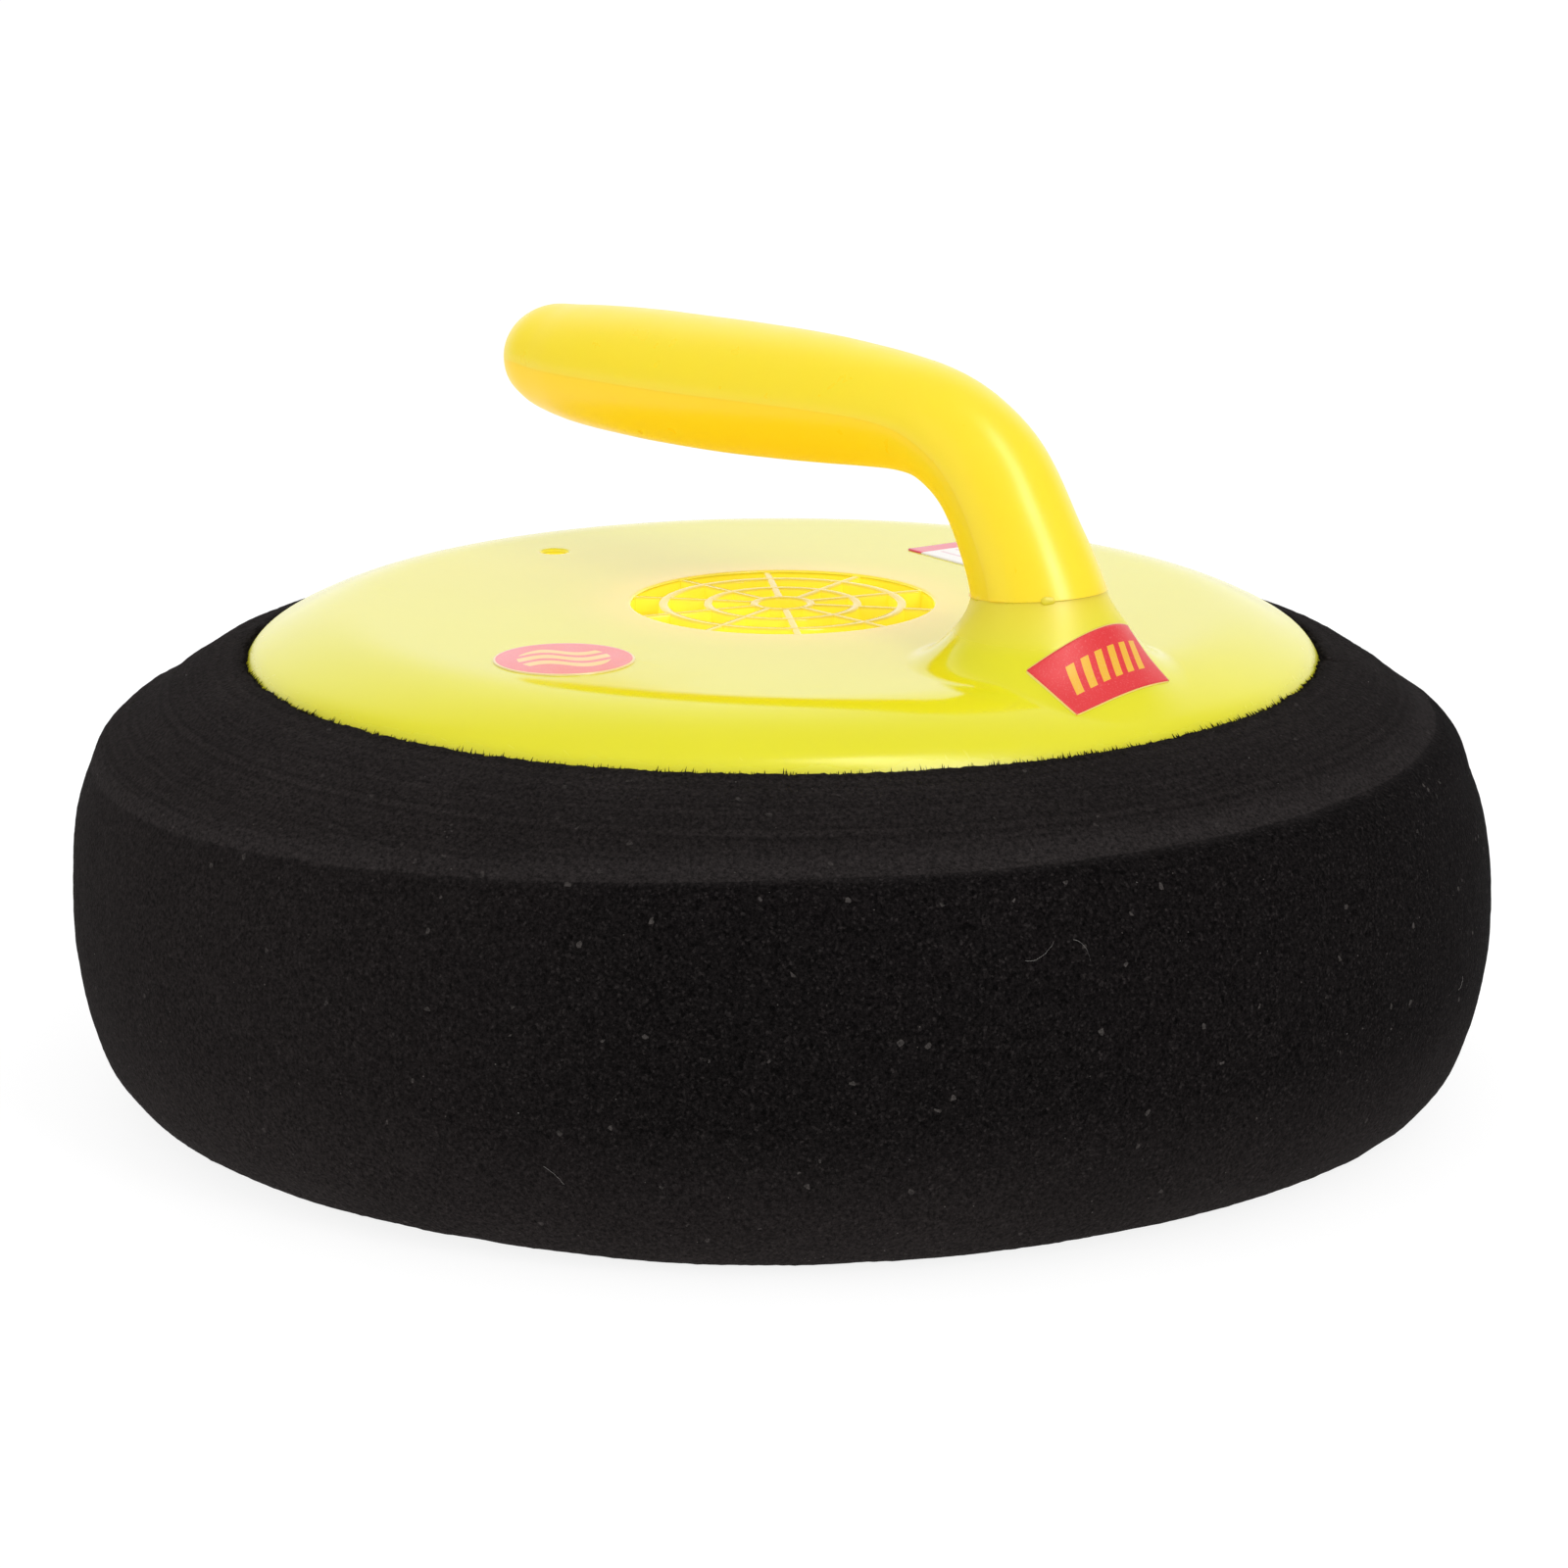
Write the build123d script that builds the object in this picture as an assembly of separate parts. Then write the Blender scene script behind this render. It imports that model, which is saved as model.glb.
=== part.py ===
from build123d import *
import math
import os

# Hover curling stone: a battery-driven air-cushion stone for indoor play, with a foam bumper,
# a domed cover with an intake grille, a gooseneck handle, a radial fan under the grille and
# a battery box in the base.
# Frame: millimetres, +Z up, origin on the floor at the centre of the stone, +X towards the
# handle's pedestal.

os.makedirs("parts", exist_ok=True)

# ---------------------------------------------------------------- driving dimensions
# housing
BUMPER_R = 100.0          # outer radius of the foam bumper
BODY_R = 76.0             # outer radius of the moulded housing inside the foam
WALL = 2.2                # moulded wall
CROWN_Z = 68.1            # top of the domed cover on the axis
CROWN_R = 56.0            # where the crown meets the shoulder
CROWN_DROP = 0.16         # how far the crown falls by CROWN_R
SHOULDER_Z = 57.0         # foot of the shoulder
SPLIT_Z = 33.0            # where the cover meets the base shell
FLANGE_R, FLANGE_Z = 80.0, 29.8   # base flange: radius and underside
FLOOR_Z = 4.0             # underside of the base plate; below it is the air cushion's chamber
PLATE_TOP = FLOOR_Z + 2.5
FOAM_GAP = 0.15           # between foam and housing
# grille
GRILLE_R = 21.3
GRILLE_Z = CROWN_Z - 4.2  # underside
N_SPOKES = 10
SPOKE_W = 1.15
HUB_HOLE_R, HUB_R = 3.3, 4.65
GRILLE_RINGS = [(HUB_HOLE_R, HUB_R), (9.75, 11.15), (15.95, 17.45)]   # inner, outer radius
# handle joint
SEAM = (50.9, 77.4)       # x, z of the handle's joint with the pedestal
SEAM_TILT = 5.0           # the joint face leans this much towards the axis, degrees
# indicator, battery, switch
LED_X, LED_Y, LED_R = -48.7, -1.0, 1.5
N_CELLS, CELL_R, CELL_L, CELL_PITCH, CELL_Z = 4, 7.1, 50.0, 14.7, 14.1
CONTACT_X = 28.6          # middle of the contact plates, either side
DOOR_SCREW_X = 38.5
SWITCH_X = -51.5
SWITCH_OFF_Y = -2.0       # the slider rests here and travels 4 mm towards +Y
SWITCH_SCREW_Y = 8.8
# motor and fan
MOTOR_R, MOTOR_FLAT = 10.0, 7.6   # radius and half width over the flats
CAN_Z0, CAN_Z1 = 29, 52
CAN_T = 0.7
SHAFT_R = 1.0
TERMINAL_Y = 5.6
BRACKET_SCREW_X = 15.5
DECK_Z0, DECK_Z1 = 40, 42
IMPELLER_R = 34.0
IMPELLER_Z = 44.0         # underside
N_BLADES = 11
BLADE_T = 1.1
LABEL_T = 0.22

SIDES = (-1, 1)


def polar(r, degrees):
    return r * math.cos(math.radians(degrees)), r * math.sin(math.radians(degrees))


HOUSING_POSTS = [polar(66.5, 45 + 90 * k) for k in range(4)]
DECK_POSTS = [polar(55.0, angle) for angle in (90, 210, 330)]
CELL_ROWS = [(i - (N_CELLS - 1) / 2) * CELL_PITCH for i in range(N_CELLS)]


# ---------------------------------------------------------------- helpers
def rod(r, z0, z1, x=0.0, y=0.0):
    """An upright cylinder."""
    return Pos(x, y, z0) * Cylinder(r, z1 - z0, align=(Align.CENTER, Align.CENTER, Align.MIN))


def ring(r_in, r_out, z0, z1):
    return rod(r_out, z0, z1) - rod(r_in, z0 - 1, z1 + 1)


def block(x0, x1, y0, y1, z0, z1):
    return Pos(x0, y0, z0) * Box(x1 - x0, y1 - y0, z1 - z0, align=(Align.MIN,) * 3)


def slab(half_x, half_y, z0, z1, x=0.0, y=0.0):
    """A block centred on x, y."""
    return block(x - half_x, x + half_x, y - half_y, y + half_y, z0, z1)


def round_upright(shape, r):
    return fillet(shape.edges().filter_by(Axis.Z), r)


def lines(*points):
    """Straight edges joining (x, z) points in the XZ plane."""
    return [Edge.make_line(Vector(a[0], 0, a[1]), Vector(b[0], 0, b[1]))
            for a, b in zip(points, points[1:])]


def curve(points, **options):
    """A spline through (x, z) points in the XZ plane."""
    return Spline(*[Vector(x, 0, z) for x, z in points], **options).edge()


def poly_face(points):
    return Face(Wire.make_polygon([Vector(x, 0, z) for x, z in points], close=True))


def turned(points, angle=360):
    """A polygon of (r, z) points revolved about Z."""
    return revolve(poly_face(points), Axis.Z, angle)


def turned_edges(edges):
    return revolve(Face(Wire(edges)), Axis.Z, 360)


def sector(r_in, r_out, z0, z1, middle, width):
    """A ring sector centred on the angle middle, width degrees wide."""
    piece = turned([(r_in, z0), (r_out, z0), (r_out, z1), (r_in, z1)], width)
    return Rot(0, 0, middle - width / 2) * piece


def screw(x, y, z_seat, head, shank, up=True):
    """A cross-recess screw seated under its head; head is (radius, height), shank is
    (radius, length), and up means the shank points up."""
    head_r, head_h = head
    r, length = shank
    tip = Cone(r, r * 0.25, r, align=(Align.CENTER, Align.CENTER, Align.MIN))
    body = rod(head_r, -head_h, 0) + rod(r, 0, length - r) + Pos(0, 0, length - r) * tip
    rim = body.edges().filter_by(GeomType.CIRCLE).group_by(Axis.Z)[0]
    body = fillet(rim, head_h * 0.45)
    slot = Box(head_r * 1.15, head_r * 0.26, head_h * 0.6)
    body -= Pos(0, 0, -head_h) * (slot + Rot(0, 0, 90) * slot)
    if not up:
        body = Rot(180, 0, 0) * body
    return Pos(x, y, z_seat) * body


def save(name, shape):
    if isinstance(shape, list):
        shape = Compound(shape)
    elif len(shape.solids()) == 1:
        shape = shape.solids()[0]
    else:
        shape = Compound(list(shape.solids()))
    export_step(shape, f"parts/{name}.step")


# ---------------------------------------------------------------- dome and pedestal forms
# shoulder of the cover: r, z
SHOULDER = [
    (CROWN_R, 67.94), (60, 67.86), (62.5, 67.6), (65, 67.0), (68, 65.8),
    (70, 64.6), (73, 62.1), (75, 59.7), (BODY_R, SHOULDER_Z),
]


def inset(points, depth):
    """The shoulder's points moved into the wall by depth, square to the shoulder."""
    moved = [(points[0][0], points[0][1] - depth)]
    for before, (r, z), after in zip(points, points[1:], points[2:]):
        run, rise = after[0] - before[0], after[1] - before[1]
        length = math.hypot(run, rise)
        moved.append((r + rise / length * depth, z - run / length * depth))
    return moved + [(points[-1][0] - depth, points[-1][1] - 0.4 * depth)]


def dome(depth=0):
    """The cover's outer form brought in by depth; an inset form also reaches lower."""
    shoulder = inset(SHOULDER, depth) if depth else SHOULDER
    z_low = SPLIT_Z - 20 if depth else SPLIT_Z + 0.2
    z_top = CROWN_Z - depth
    crown = ThreePointArc(
        Vector(0, 0, z_top),
        Vector(CROWN_R / 2, 0, CROWN_Z - CROWN_DROP / 4 - depth),
        Vector(CROWN_R, 0, CROWN_Z - CROWN_DROP - depth),
    )
    slope = -2 * CROWN_DROP / CROWN_R
    side = curve(shoulder, tangents=[Vector(1, 0, slope), Vector(0, 0, -1)])
    r_out = shoulder[-1][0]
    return turned_edges(
        [crown.edge(), side, *lines(shoulder[-1], (r_out, z_low), (0, z_low), (0, z_top))]
    )


# frame of the handle joint: origin at its centre, +Z up along the socket, tilted to the axis
JOINT = Pos(SEAM[0], 0, SEAM[1]) * Rot(0, -SEAM_TILT, 0)

# pedestal sections from the joint down: centre x, z, radius, lean of the plane in degrees
PEDESTAL = [
    (*SEAM, 8.95, SEAM_TILT),
    (51.2, 75.6, 9.7, 4.0),
    (51.45, 73.6, 10.95, 2.5),
    (51.5, 71.2, 12.9, 1.0),
    (51.5, 69.2, 14.7, 0.0),
    (51.5, 67.1, 16.6, 0.0),
    (51.5, 65.2, 18.2, 0.0),
    (51.5, 62.6, 20.2, 0.0),
    (51.5, 60.4, 21.6, 0.0),
]
HOLLOW_TOP = -2.6
# the hollow under the pedestal: r, z in the joint's frame
HOLLOW = [(6.9, HOLLOW_TOP), (8.0, -4.6), (9.4, -7.0), (11.4, -9.6), (12.8, -11.2), (13.6, -12.8)]


def outer_form():
    """Dome and pedestal in one solid, blended where they meet."""
    pedestal = Solid.make_loft(
        [(Pos(x, 0, z) * Rot(0, -lean, 0) * Circle(r)).wire() for x, z, r, lean in PEDESTAL]
    )
    form = dome() + pedestal
    seam_edges = [
        e for e in form.edges()
        if e.geom_type not in (GeomType.LINE, GeomType.CIRCLE)
        and e.bounding_box().max.Z < 72
        and e.bounding_box().min.Z > 58
        and e.bounding_box().min.X > 20
        and e.length > 5
    ]
    # the largest blend the kernel can build wins; each failed radius falls to the next,
    # and the form stays sharp if none works
    for radius in (9.0, 8.0, 7.0, 6.0, 5.0, 4.0, 3.0, 2.0):
        try:
            blend = form.fillet(radius, seam_edges)
            if blend.is_valid and abs(blend.volume - form.volume) < 0.02 * form.volume:
                return blend
        except Exception:
            continue
    return form


envelope = outer_form()


# ---------------------------------------------------------------- top cover
def make_grille():
    grille = ring(*GRILLE_RINGS[0], GRILLE_Z, 70)
    for radii in GRILLE_RINGS[1:]:
        grille += ring(*radii, GRILLE_Z, 70)
    spoke = block(
        HUB_HOLE_R + 0.5, GRILLE_R + 0.9, -SPOKE_W / 2, SPOKE_W / 2, GRILLE_Z + 0.4, 70
    )
    for i in range(N_SPOKES):
        grille += Rot(0, 0, 360 / N_SPOKES * i) * spoke
    grille += ring(GRILLE_R, GRILLE_R + 1.9, GRILLE_Z, 66.9)
    grille -= rod(HUB_HOLE_R, 55, 72)
    return grille & dome(0.25)


def make_cover():
    mid_wall = dome(WALL / 2)
    cover = envelope - dome(WALL)
    # hollow pedestal
    bottom = HOLLOW[-1][0]
    hollow = JOINT * turned_edges(
        [curve(HOLLOW),
         *lines(HOLLOW[-1], (bottom, -18), (0, -18), (0, HOLLOW_TOP), HOLLOW[0])]
    )
    cover -= hollow & (JOINT * slab(40, 40, -40, HOLLOW_TOP))
    # socket with a flat-sided bore for the handle plug, and its screw hole
    cover += JOINT * rod(8.4, -15.0, -1.0)
    cover -= JOINT * (rod(6.5, -13.0, 2) & block(-10, 5.3, -10, 10, -14, 3))
    cover -= JOINT * rod(1.7, -16, -12)
    # intake duct and grille
    cover += ring(23.2, 24.8, 62.3, 67.2) & mid_wall
    cover -= rod(GRILLE_R, 60, 72)
    cover += make_grille()
    # screw columns for the base
    for post in HOUSING_POSTS:
        cover += rod(3.7, 27.7, 67, *post) & mid_wall
        cover -= rod(1.45, 26, 46, *post)
    # indicator: a counterbore in the crown over a lamp boss
    cover += rod(3.1, 58.5, 67, LED_X, LED_Y) & mid_wall
    cover -= rod(1.58, 55, 70, LED_X, LED_Y)
    cover -= rod(2.05, 66.0, 70, LED_X, LED_Y)
    # small locating pip on the joint rim
    pip = Pos(*polar(8.75, -36.0), -0.35) * Sphere(0.95)
    cover += (JOINT * pip) & (JOINT * slab(12, 12, -3, 0.0))
    return cover


save("top_cover", make_cover())


# ---------------------------------------------------------------- base shell
def make_base():
    r_in = BODY_R - WALL
    base = turned([
        (0, FLOOR_Z), (70, FLOOR_Z), (70, 0.7), (70.7, 0), (73.6, 0), (74.6, 0.9),
        (BODY_R, 4), (BODY_R, FLANGE_Z), (FLANGE_R, FLANGE_Z), (FLANGE_R, SPLIT_Z),
        (73.6, SPLIT_Z), (73.6, 38), (71.6, 38), (71.6, 29), (r_in, 26.8),
        (r_in, PLATE_TOP), (0, PLATE_TOP),
    ])
    root_z = PLATE_TOP - 0.5   # added features start inside the plate
    # battery box with its foot
    base += slab(46, 35, root_z, 8.6)
    base += slab(30.5, 31.2, 8.0, 23.4)
    # posts
    for post in HOUSING_POSTS:
        base += rod(4.3, root_z, 27.5, *post)
    for post in DECK_POSTS:
        base += rod(3.6, root_z, 40, *post)
    for side in SIDES:
        base += rod(4.0, 8.0, 19.5, side * DOOR_SCREW_X)
    # switch pad and its screw bosses
    base += block(SWITCH_X - 6.6, SWITCH_X + 6.0, -11, 11, root_z, 9.0)
    for side in SIDES:
        base += rod(2.1, 8.5, 10.6, SWITCH_X, side * SWITCH_SCREW_Y)
    # battery bay and door opening
    base -= slab(28.9, 29.6, 6.4, 21.8)
    base -= round_upright(slab(32.6, 32.6, 3, 6.4) + slab(43.2, 7.2, 3, 6.4), 1.5)
    # screw holes
    for side in SIDES:
        base -= rod(1.3, 5, 18, side * DOOR_SCREW_X)
    for post in HOUSING_POSTS:
        base -= rod(3.2, 3, 18, *post)
        base -= rod(1.7, 15, 30, *post)
    for post in DECK_POSTS:
        base -= rod(1.3, 26, 42, *post)
    # slider recess, slot and screw holes of the switch
    base -= slab(4.3, 7.6, 3, 7.2, SWITCH_X)
    base -= slab(1.95, 4.5, 6, 10, SWITCH_X)
    for side in SIDES:
        base -= rod(0.95, 7.6, 12, SWITCH_X, side * SWITCH_SCREW_Y)
    # ring of arc slots through the plate
    for k in range(12):
        base -= sector(59.6, 64.4, 2, 8, 30 * k, 18)
    # slots in the box roof for the two supply tabs
    for y in (CELL_ROWS[0], CELL_ROWS[-1]):
        base -= block(27.9, 28.9, y - 2.2, y + 2.2, 20, 25)
    return base


save("base_shell", make_base())

# ---------------------------------------------------------------- foam bumper
FOAM_R = BODY_R + FOAM_GAP
# sections of the outline: r, z
FOAM_LIP = [(FOAM_R, SHOULDER_Z), (75.85, 58.9), (75.2, 60.3), (74.9, 61.0)]
FOAM_TOP = [(75.5, 61.75), (80, 60.4), (85, 57.9), (90, 54.2), (94.8, 49.2)]
FOAM_SIDE = [
    (94.8, 49.2), (97.4, 43.5), (99.3, 36), (BUMPER_R, 27),
    (98.9, 16.5), (96.3, 8.8), (92.6, 3.7), (87.6, 1.0),
]
# bottom and bore, with a groove for the base flange
FOAM_BORE = [
    FOAM_SIDE[-1], (77.0, 1.0), (FOAM_R, 5.0), (FOAM_R, FLANGE_Z - 0.1),
    (FLANGE_R + 0.2, FLANGE_Z - 0.1), (FLANGE_R + 0.2, SPLIT_Z + 0.2),
    (FOAM_R, SPLIT_Z + 0.2), FOAM_LIP[0],
]
save("foam_bumper", turned_edges([
    curve(FOAM_LIP),
    *lines(FOAM_LIP[-1], FOAM_TOP[0]),
    curve(FOAM_TOP),
    curve(FOAM_SIDE, tangents=[Vector(0.42, 0, -0.9), Vector(-1, 0, 0)]),
    *lines(*FOAM_BORE),
]))

# ---------------------------------------------------------------- handle
# centre line in the XZ plane, from the free end to the joint: x, z, half height, half width
GRIP = [
    (-56.45, 96.5, 0.8, 0.8), (-56.1, 96.5, 2.35, 2.45), (-55.4, 96.5, 3.75, 4.0),
    (-54.1, 96.53, 5.35, 5.75), (-52.2, 96.6, 6.65, 7.05), (-49.6, 96.65, 7.6, 7.9),
    (-46.0, 96.5, 8.1, 8.45), (-40.5, 96.45, 8.65, 9.15), (-33.0, 96.6, 9.05, 9.5),
    (-24.0, 96.8, 9.3, 9.65), (-12.0, 97.15, 9.35, 9.65), (0.5, 97.65, 9.15, 9.4),
    (10.0, 98.0, 8.8, 9.0), (19.0, 98.2, 8.25, 8.5), (26.5, 98.05, 7.8, 8.1),
    (32.5, 97.1, 7.65, 7.9), (37.5, 95.0, 7.75, 7.9), (41.6, 92.1, 7.9, 8.0),
    (44.8, 88.2, 8.0, 8.1), (47.4, 83.9, 8.2, 8.25), (49.6, 79.9, 8.6, 8.65),
    (51.1, 76.4, 9.05, 9.05), (52.4, 73.0, 9.3, 9.3),
]
SHELL_GAP = 0.07          # each half stands back this much from the centre line
PEGS = [(-34.0, 96.6), (6.0, 97.85)]   # x, z of the pegs between the halves


def grip_direction(i):
    before, after = GRIP[max(i - 1, 0)], GRIP[min(i + 1, len(GRIP) - 1)]
    return Vector(after[0] - before[0], 0, after[1] - before[1]).normalized()


def tube(shrink, first=0):
    """A loft along the centre line from station first; shrink is taken off each half axis."""
    wires = []
    for i, (x, z, half_h, half_w) in enumerate(GRIP[first:], first):
        plane = Plane(origin=(x, 0, z), x_dir=(0, 1, 0), z_dir=grip_direction(i))
        section = Ellipse(max(half_w - shrink, 0.8), max(half_h - shrink, 0.8))
        wires.append((plane * section).wire())
    return Solid.make_loft(wires)


def outside_of_line(offset):
    """Everything above and outside the centre line, moved by offset along its normal."""
    points = []
    for i, (x, z, _, _) in enumerate(GRIP):
        direction = grip_direction(i)
        points.append((x - direction.Z * offset, z + direction.X * offset))
    start = (points[0][0] - 12, points[0][1])
    end = (points[-1][0] + 2.5, points[-1][1] - 8)
    x_far, z_far = 90, 125
    edges = [
        *lines(start, points[0]),
        curve(points),
        *lines(points[-1], end, (x_far, end[1]), (x_far, z_far), (start[0], z_far), start),
    ]
    return extrude(Face(Wire(edges)), 30, dir=(0, 1, 0), both=True)


def make_handle_shells():
    mid_wall = tube(1.0, 1)
    shell = tube(0.0) - tube(2.0, 3)
    shell = shell & (JOINT * block(-130, 40, -30, 30, 0.05, 60))
    outer_side = outside_of_line(SHELL_GAP)
    outer = shell & outer_side
    inner = shell - outside_of_line(-SHELL_GAP)
    # sleeves in the outer half take pegs on the inner half
    for x, z in PEGS:
        outer += (rod(3.2, z + 0.3, z + 12, x) & mid_wall) & outer_side
        outer -= rod(1.75, z - 1, z + 4.2, x)
        inner += rod(1.65, z - 12, z + 3.6, x) & mid_wall
        inner += rod(3.2, z - 12, z - 1.5, x) & mid_wall
    return outer, inner


handle_outer, handle_inner = make_handle_shells()
save("handle_outer_shell", handle_outer)
save("handle_inner_shell", handle_inner)

# plug: a keyed spigot below the joint, and a core that fills the shells' neck above it
spigot = rod(6.4, -12.6, 0.06) & block(-10, 5.2, -10, 10, -13, 1)
core = tube(2.15, 3) & (JOINT * slab(30, 20, 0.0, 11))
plug = JOINT * spigot + core
plug -= JOINT * rod(1.3, -13, 3)
save("handle_plug", plug)
save("handle_screw", JOINT * screw(0, 0, -15.05, head=(2.9, 1.9), shank=(1.25, 15.5)))


# ---------------------------------------------------------------- fan deck with the motor cup
def make_deck():
    deck = rod(73.0, DECK_Z0, DECK_Z1)
    deck += rod(12.0, 28, 53.2)
    # bracket screw posts, webbed to the cup
    for side in SIDES:
        deck += rod(3.2, 27, 41, side * BRACKET_SCREW_X)
        deck += block(*sorted((side * 10, side * 15)), -1, 1, 28, 41)
    # low ring around the impeller
    deck += ring(34.8, 36.0, 41.5, 44.5)
    # motor bore and the opening in the cup's roof
    deck -= rod(10.15, 20, 52.05)
    deck -= rod(4.0, 50, 55)
    for side in SIDES:
        deck -= rod(1.05, 26, 36, side * BRACKET_SCREW_X)
    for post in HOUSING_POSTS:
        deck -= rod(4.3, 39, 43, *post)
    for post in DECK_POSTS:
        deck -= rod(1.6, 39, 43, *post)
    # arc slots around the rim, every third one wider
    for k in range(12):
        deck -= sector(60.2, 69.5, 39, 43, 30 * k, 19 if k % 3 else 22)
    # stiffening ribs on the underside, left out towards the housing posts
    rib = block(37, 58, -0.8, 0.8, 37.6, 40.2)
    for k in range(12):
        if k % 3 != 1:
            deck += Rot(0, 0, 30 * k + 15) * rib
    return deck


save("fan_deck", make_deck())
save("deck_screws", [
    screw(*post, DECK_Z1 + 0.05, head=(2.7, 1.8), shank=(1.22, 13), up=False)
    for post in DECK_POSTS
])
save("housing_screws", [
    screw(*post, 17.95, head=(2.9, 1.9), shank=(1.38, 24)) for post in HOUSING_POSTS
])


# ---------------------------------------------------------------- motor
def motor_slug(inset_by, z0, z1):
    """The motor's round section with two flats, brought in by inset_by."""
    return rod(MOTOR_R - inset_by, z0, z1) & slab(20, MOTOR_FLAT - inset_by, z0, z1)


can = motor_slug(0, CAN_Z0, CAN_Z1) - motor_slug(CAN_T, CAN_Z0 - 1, CAN_Z1 - CAN_T)
can += ring(2.4, 3.0, CAN_Z1 - CAN_T, 53.4)
can -= rod(2.4, 50, 54)
save("motor_can", can)

cap = motor_slug(0, 27, CAN_Z0 - 0.02)
cap += motor_slug(0.8, 28.5, 30.6)
cap -= rod(2.4, 26, 32)
for side in SIDES:
    cap -= slab(1.7, 0.35, 26, 32, y=side * TERMINAL_Y)
save("motor_end_cap", cap)

save("motor_terminals", [
    slab(1.6, 0.25, 24.3, 31.2, y=side * TERMINAL_Y)
    - Pos(0, side * TERMINAL_Y, 25.5) * Rot(90, 0, 0) * Cylinder(0.7, 2)
    for side in SIDES
])
save("motor_magnets", [sector(7.1, 9.25, 32.5, 49.5, angle, 78) for angle in (0, 180)])
save("motor_bushes", [ring(1.03, 2.38, z0, z1) for z0, z1 in ((50.9, 53.3), (27.2, 30.2))])
save("motor_shaft", rod(SHAFT_R, 27.8, 60.6))

# rotor: core, three wound poles and a collar at the lower end
rotor = rod(2.6, 34, 47)
pole = block(0, 7, -1.6, 1.6, 35.5, 45.5) + sector(5.5, 6.7, 35.5, 45.5, 0, 104)
coil = block(2.6, 5.3, -2.9, 2.9, 34.3, 46.7)
for k in range(3):
    rotor += Rot(0, 0, 120 * k + 30) * (pole + coil)
rotor += rod(2.5, 31.2, 34.2)
rotor = rotor & rod(6.7, 30, 50)
rotor -= rod(SHAFT_R, 26, 60)
save("motor_rotor", rotor)

BRACKET_Z = (25.4, 26.95)
bracket = (
    slab(BRACKET_SCREW_X, 4.4, *BRACKET_Z)
    + rod(4.4, *BRACKET_Z, BRACKET_SCREW_X)
    + rod(4.4, *BRACKET_Z, -BRACKET_SCREW_X)
)
bracket -= rod(3.6, 24, 28)
for side in SIDES:
    bracket -= rod(1.3, 24, 28, side * BRACKET_SCREW_X)
save("motor_bracket", bracket)
save("motor_bracket_screws", [
    screw(side * BRACKET_SCREW_X, 0, 25.38, head=(2.1, 1.5), shank=(1.0, 8.5))
    for side in SIDES
])

# ---------------------------------------------------------------- impeller
BLADE_R0, BLADE_R1 = 14.2, IMPELLER_R - 0.1
BLADE_Z = 44.6
BLADE_STEPS = 6
# turned outlines: r, z
HUB = [
    (SHAFT_R, 54.2), (13.2, 54.2), (13.2, IMPELLER_Z), (IMPELLER_R, IMPELLER_Z),
    (IMPELLER_R, 45.2), (14.6, 45.2), (14.6, 53.6), (12.6, 55.6), (3.4, 55.6),
    (3.1, 60.2), (SHAFT_R, 60.2),
]
SHROUD = [(22.6, 61.6), (23.4, 61.6), (IMPELLER_R, 57.4), (IMPELLER_R, 56.2), (22.6, 60.5)]
BLADE_LIMITS = [
    (13.8, BLADE_Z), (BLADE_R1, BLADE_Z), (BLADE_R1, 56.9), (23.0, 61.1), (22.0, 61.1),
    (16.5, 57.0), (13.8, 50.0),
]


def make_blade():
    """A backward-curved blade as a curved strip in plan, not yet trimmed."""
    left, right = [], []
    for i in range(BLADE_STEPS + 1):
        share = i / BLADE_STEPS
        angle = -46 * share ** 1.15
        x, y = polar(BLADE_R0 + (BLADE_R1 - BLADE_R0) * share, angle)
        along_x, along_y = polar(1, angle - 38)
        shift_x, shift_y = -along_y * BLADE_T / 2, along_x * BLADE_T / 2
        left.append((x + shift_x, y + shift_y))
        right.append((x - shift_x, y - shift_y))
    face = Face(Wire([
        Spline(*left).edge(),
        Edge.make_line((*left[-1], 0), (*right[-1], 0)),
        Spline(*right[::-1]).edge(),
        Edge.make_line((*right[0], 0), (*left[0], 0)),
    ]))
    return Pos(0, 0, BLADE_Z) * extrude(face, 18, dir=(0, 0, 1))


impeller = turned(HUB) + turned(SHROUD)
blade = make_blade() & turned(BLADE_LIMITS)
for k in range(N_BLADES):
    impeller += Rot(0, 0, 360 / N_BLADES * k) * blade
impeller -= rod(SHAFT_R, 50, 62)
save("impeller", impeller)

# ---------------------------------------------------------------- battery door
door = round_upright(slab(32.3, 32.3, 4.1, 6.3) + slab(42.9, 6.9, 4.1, 6.3), 1.3)
for side in SIDES:
    door -= rod(1.7, 3, 8, side * DOOR_SCREW_X)
    door -= rod(3.1, 3, 5.25, side * DOOR_SCREW_X)
# grip grooves on the outside
for i in range(5):
    door -= block(-9, 9, -26 + 2.4 * i, -25 + 2.4 * i, 3.9, 4.6)
# inner ribs between the cells
for y in (-CELL_PITCH, 0, CELL_PITCH):
    door += slab(24, 0.8, 6.2, 8.3, y=y)
save("battery_door", door)
save("battery_door_screws", [
    screw(side * DOOR_SCREW_X, 0, 5.2, head=(2.8, 1.1), shank=(1.22, 11.5)) for side in SIDES
])

# ---------------------------------------------------------------- cells and contacts
CELL_SHIFT = 3.3          # puts the positive button against its plate; the spring fills the rest


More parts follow.
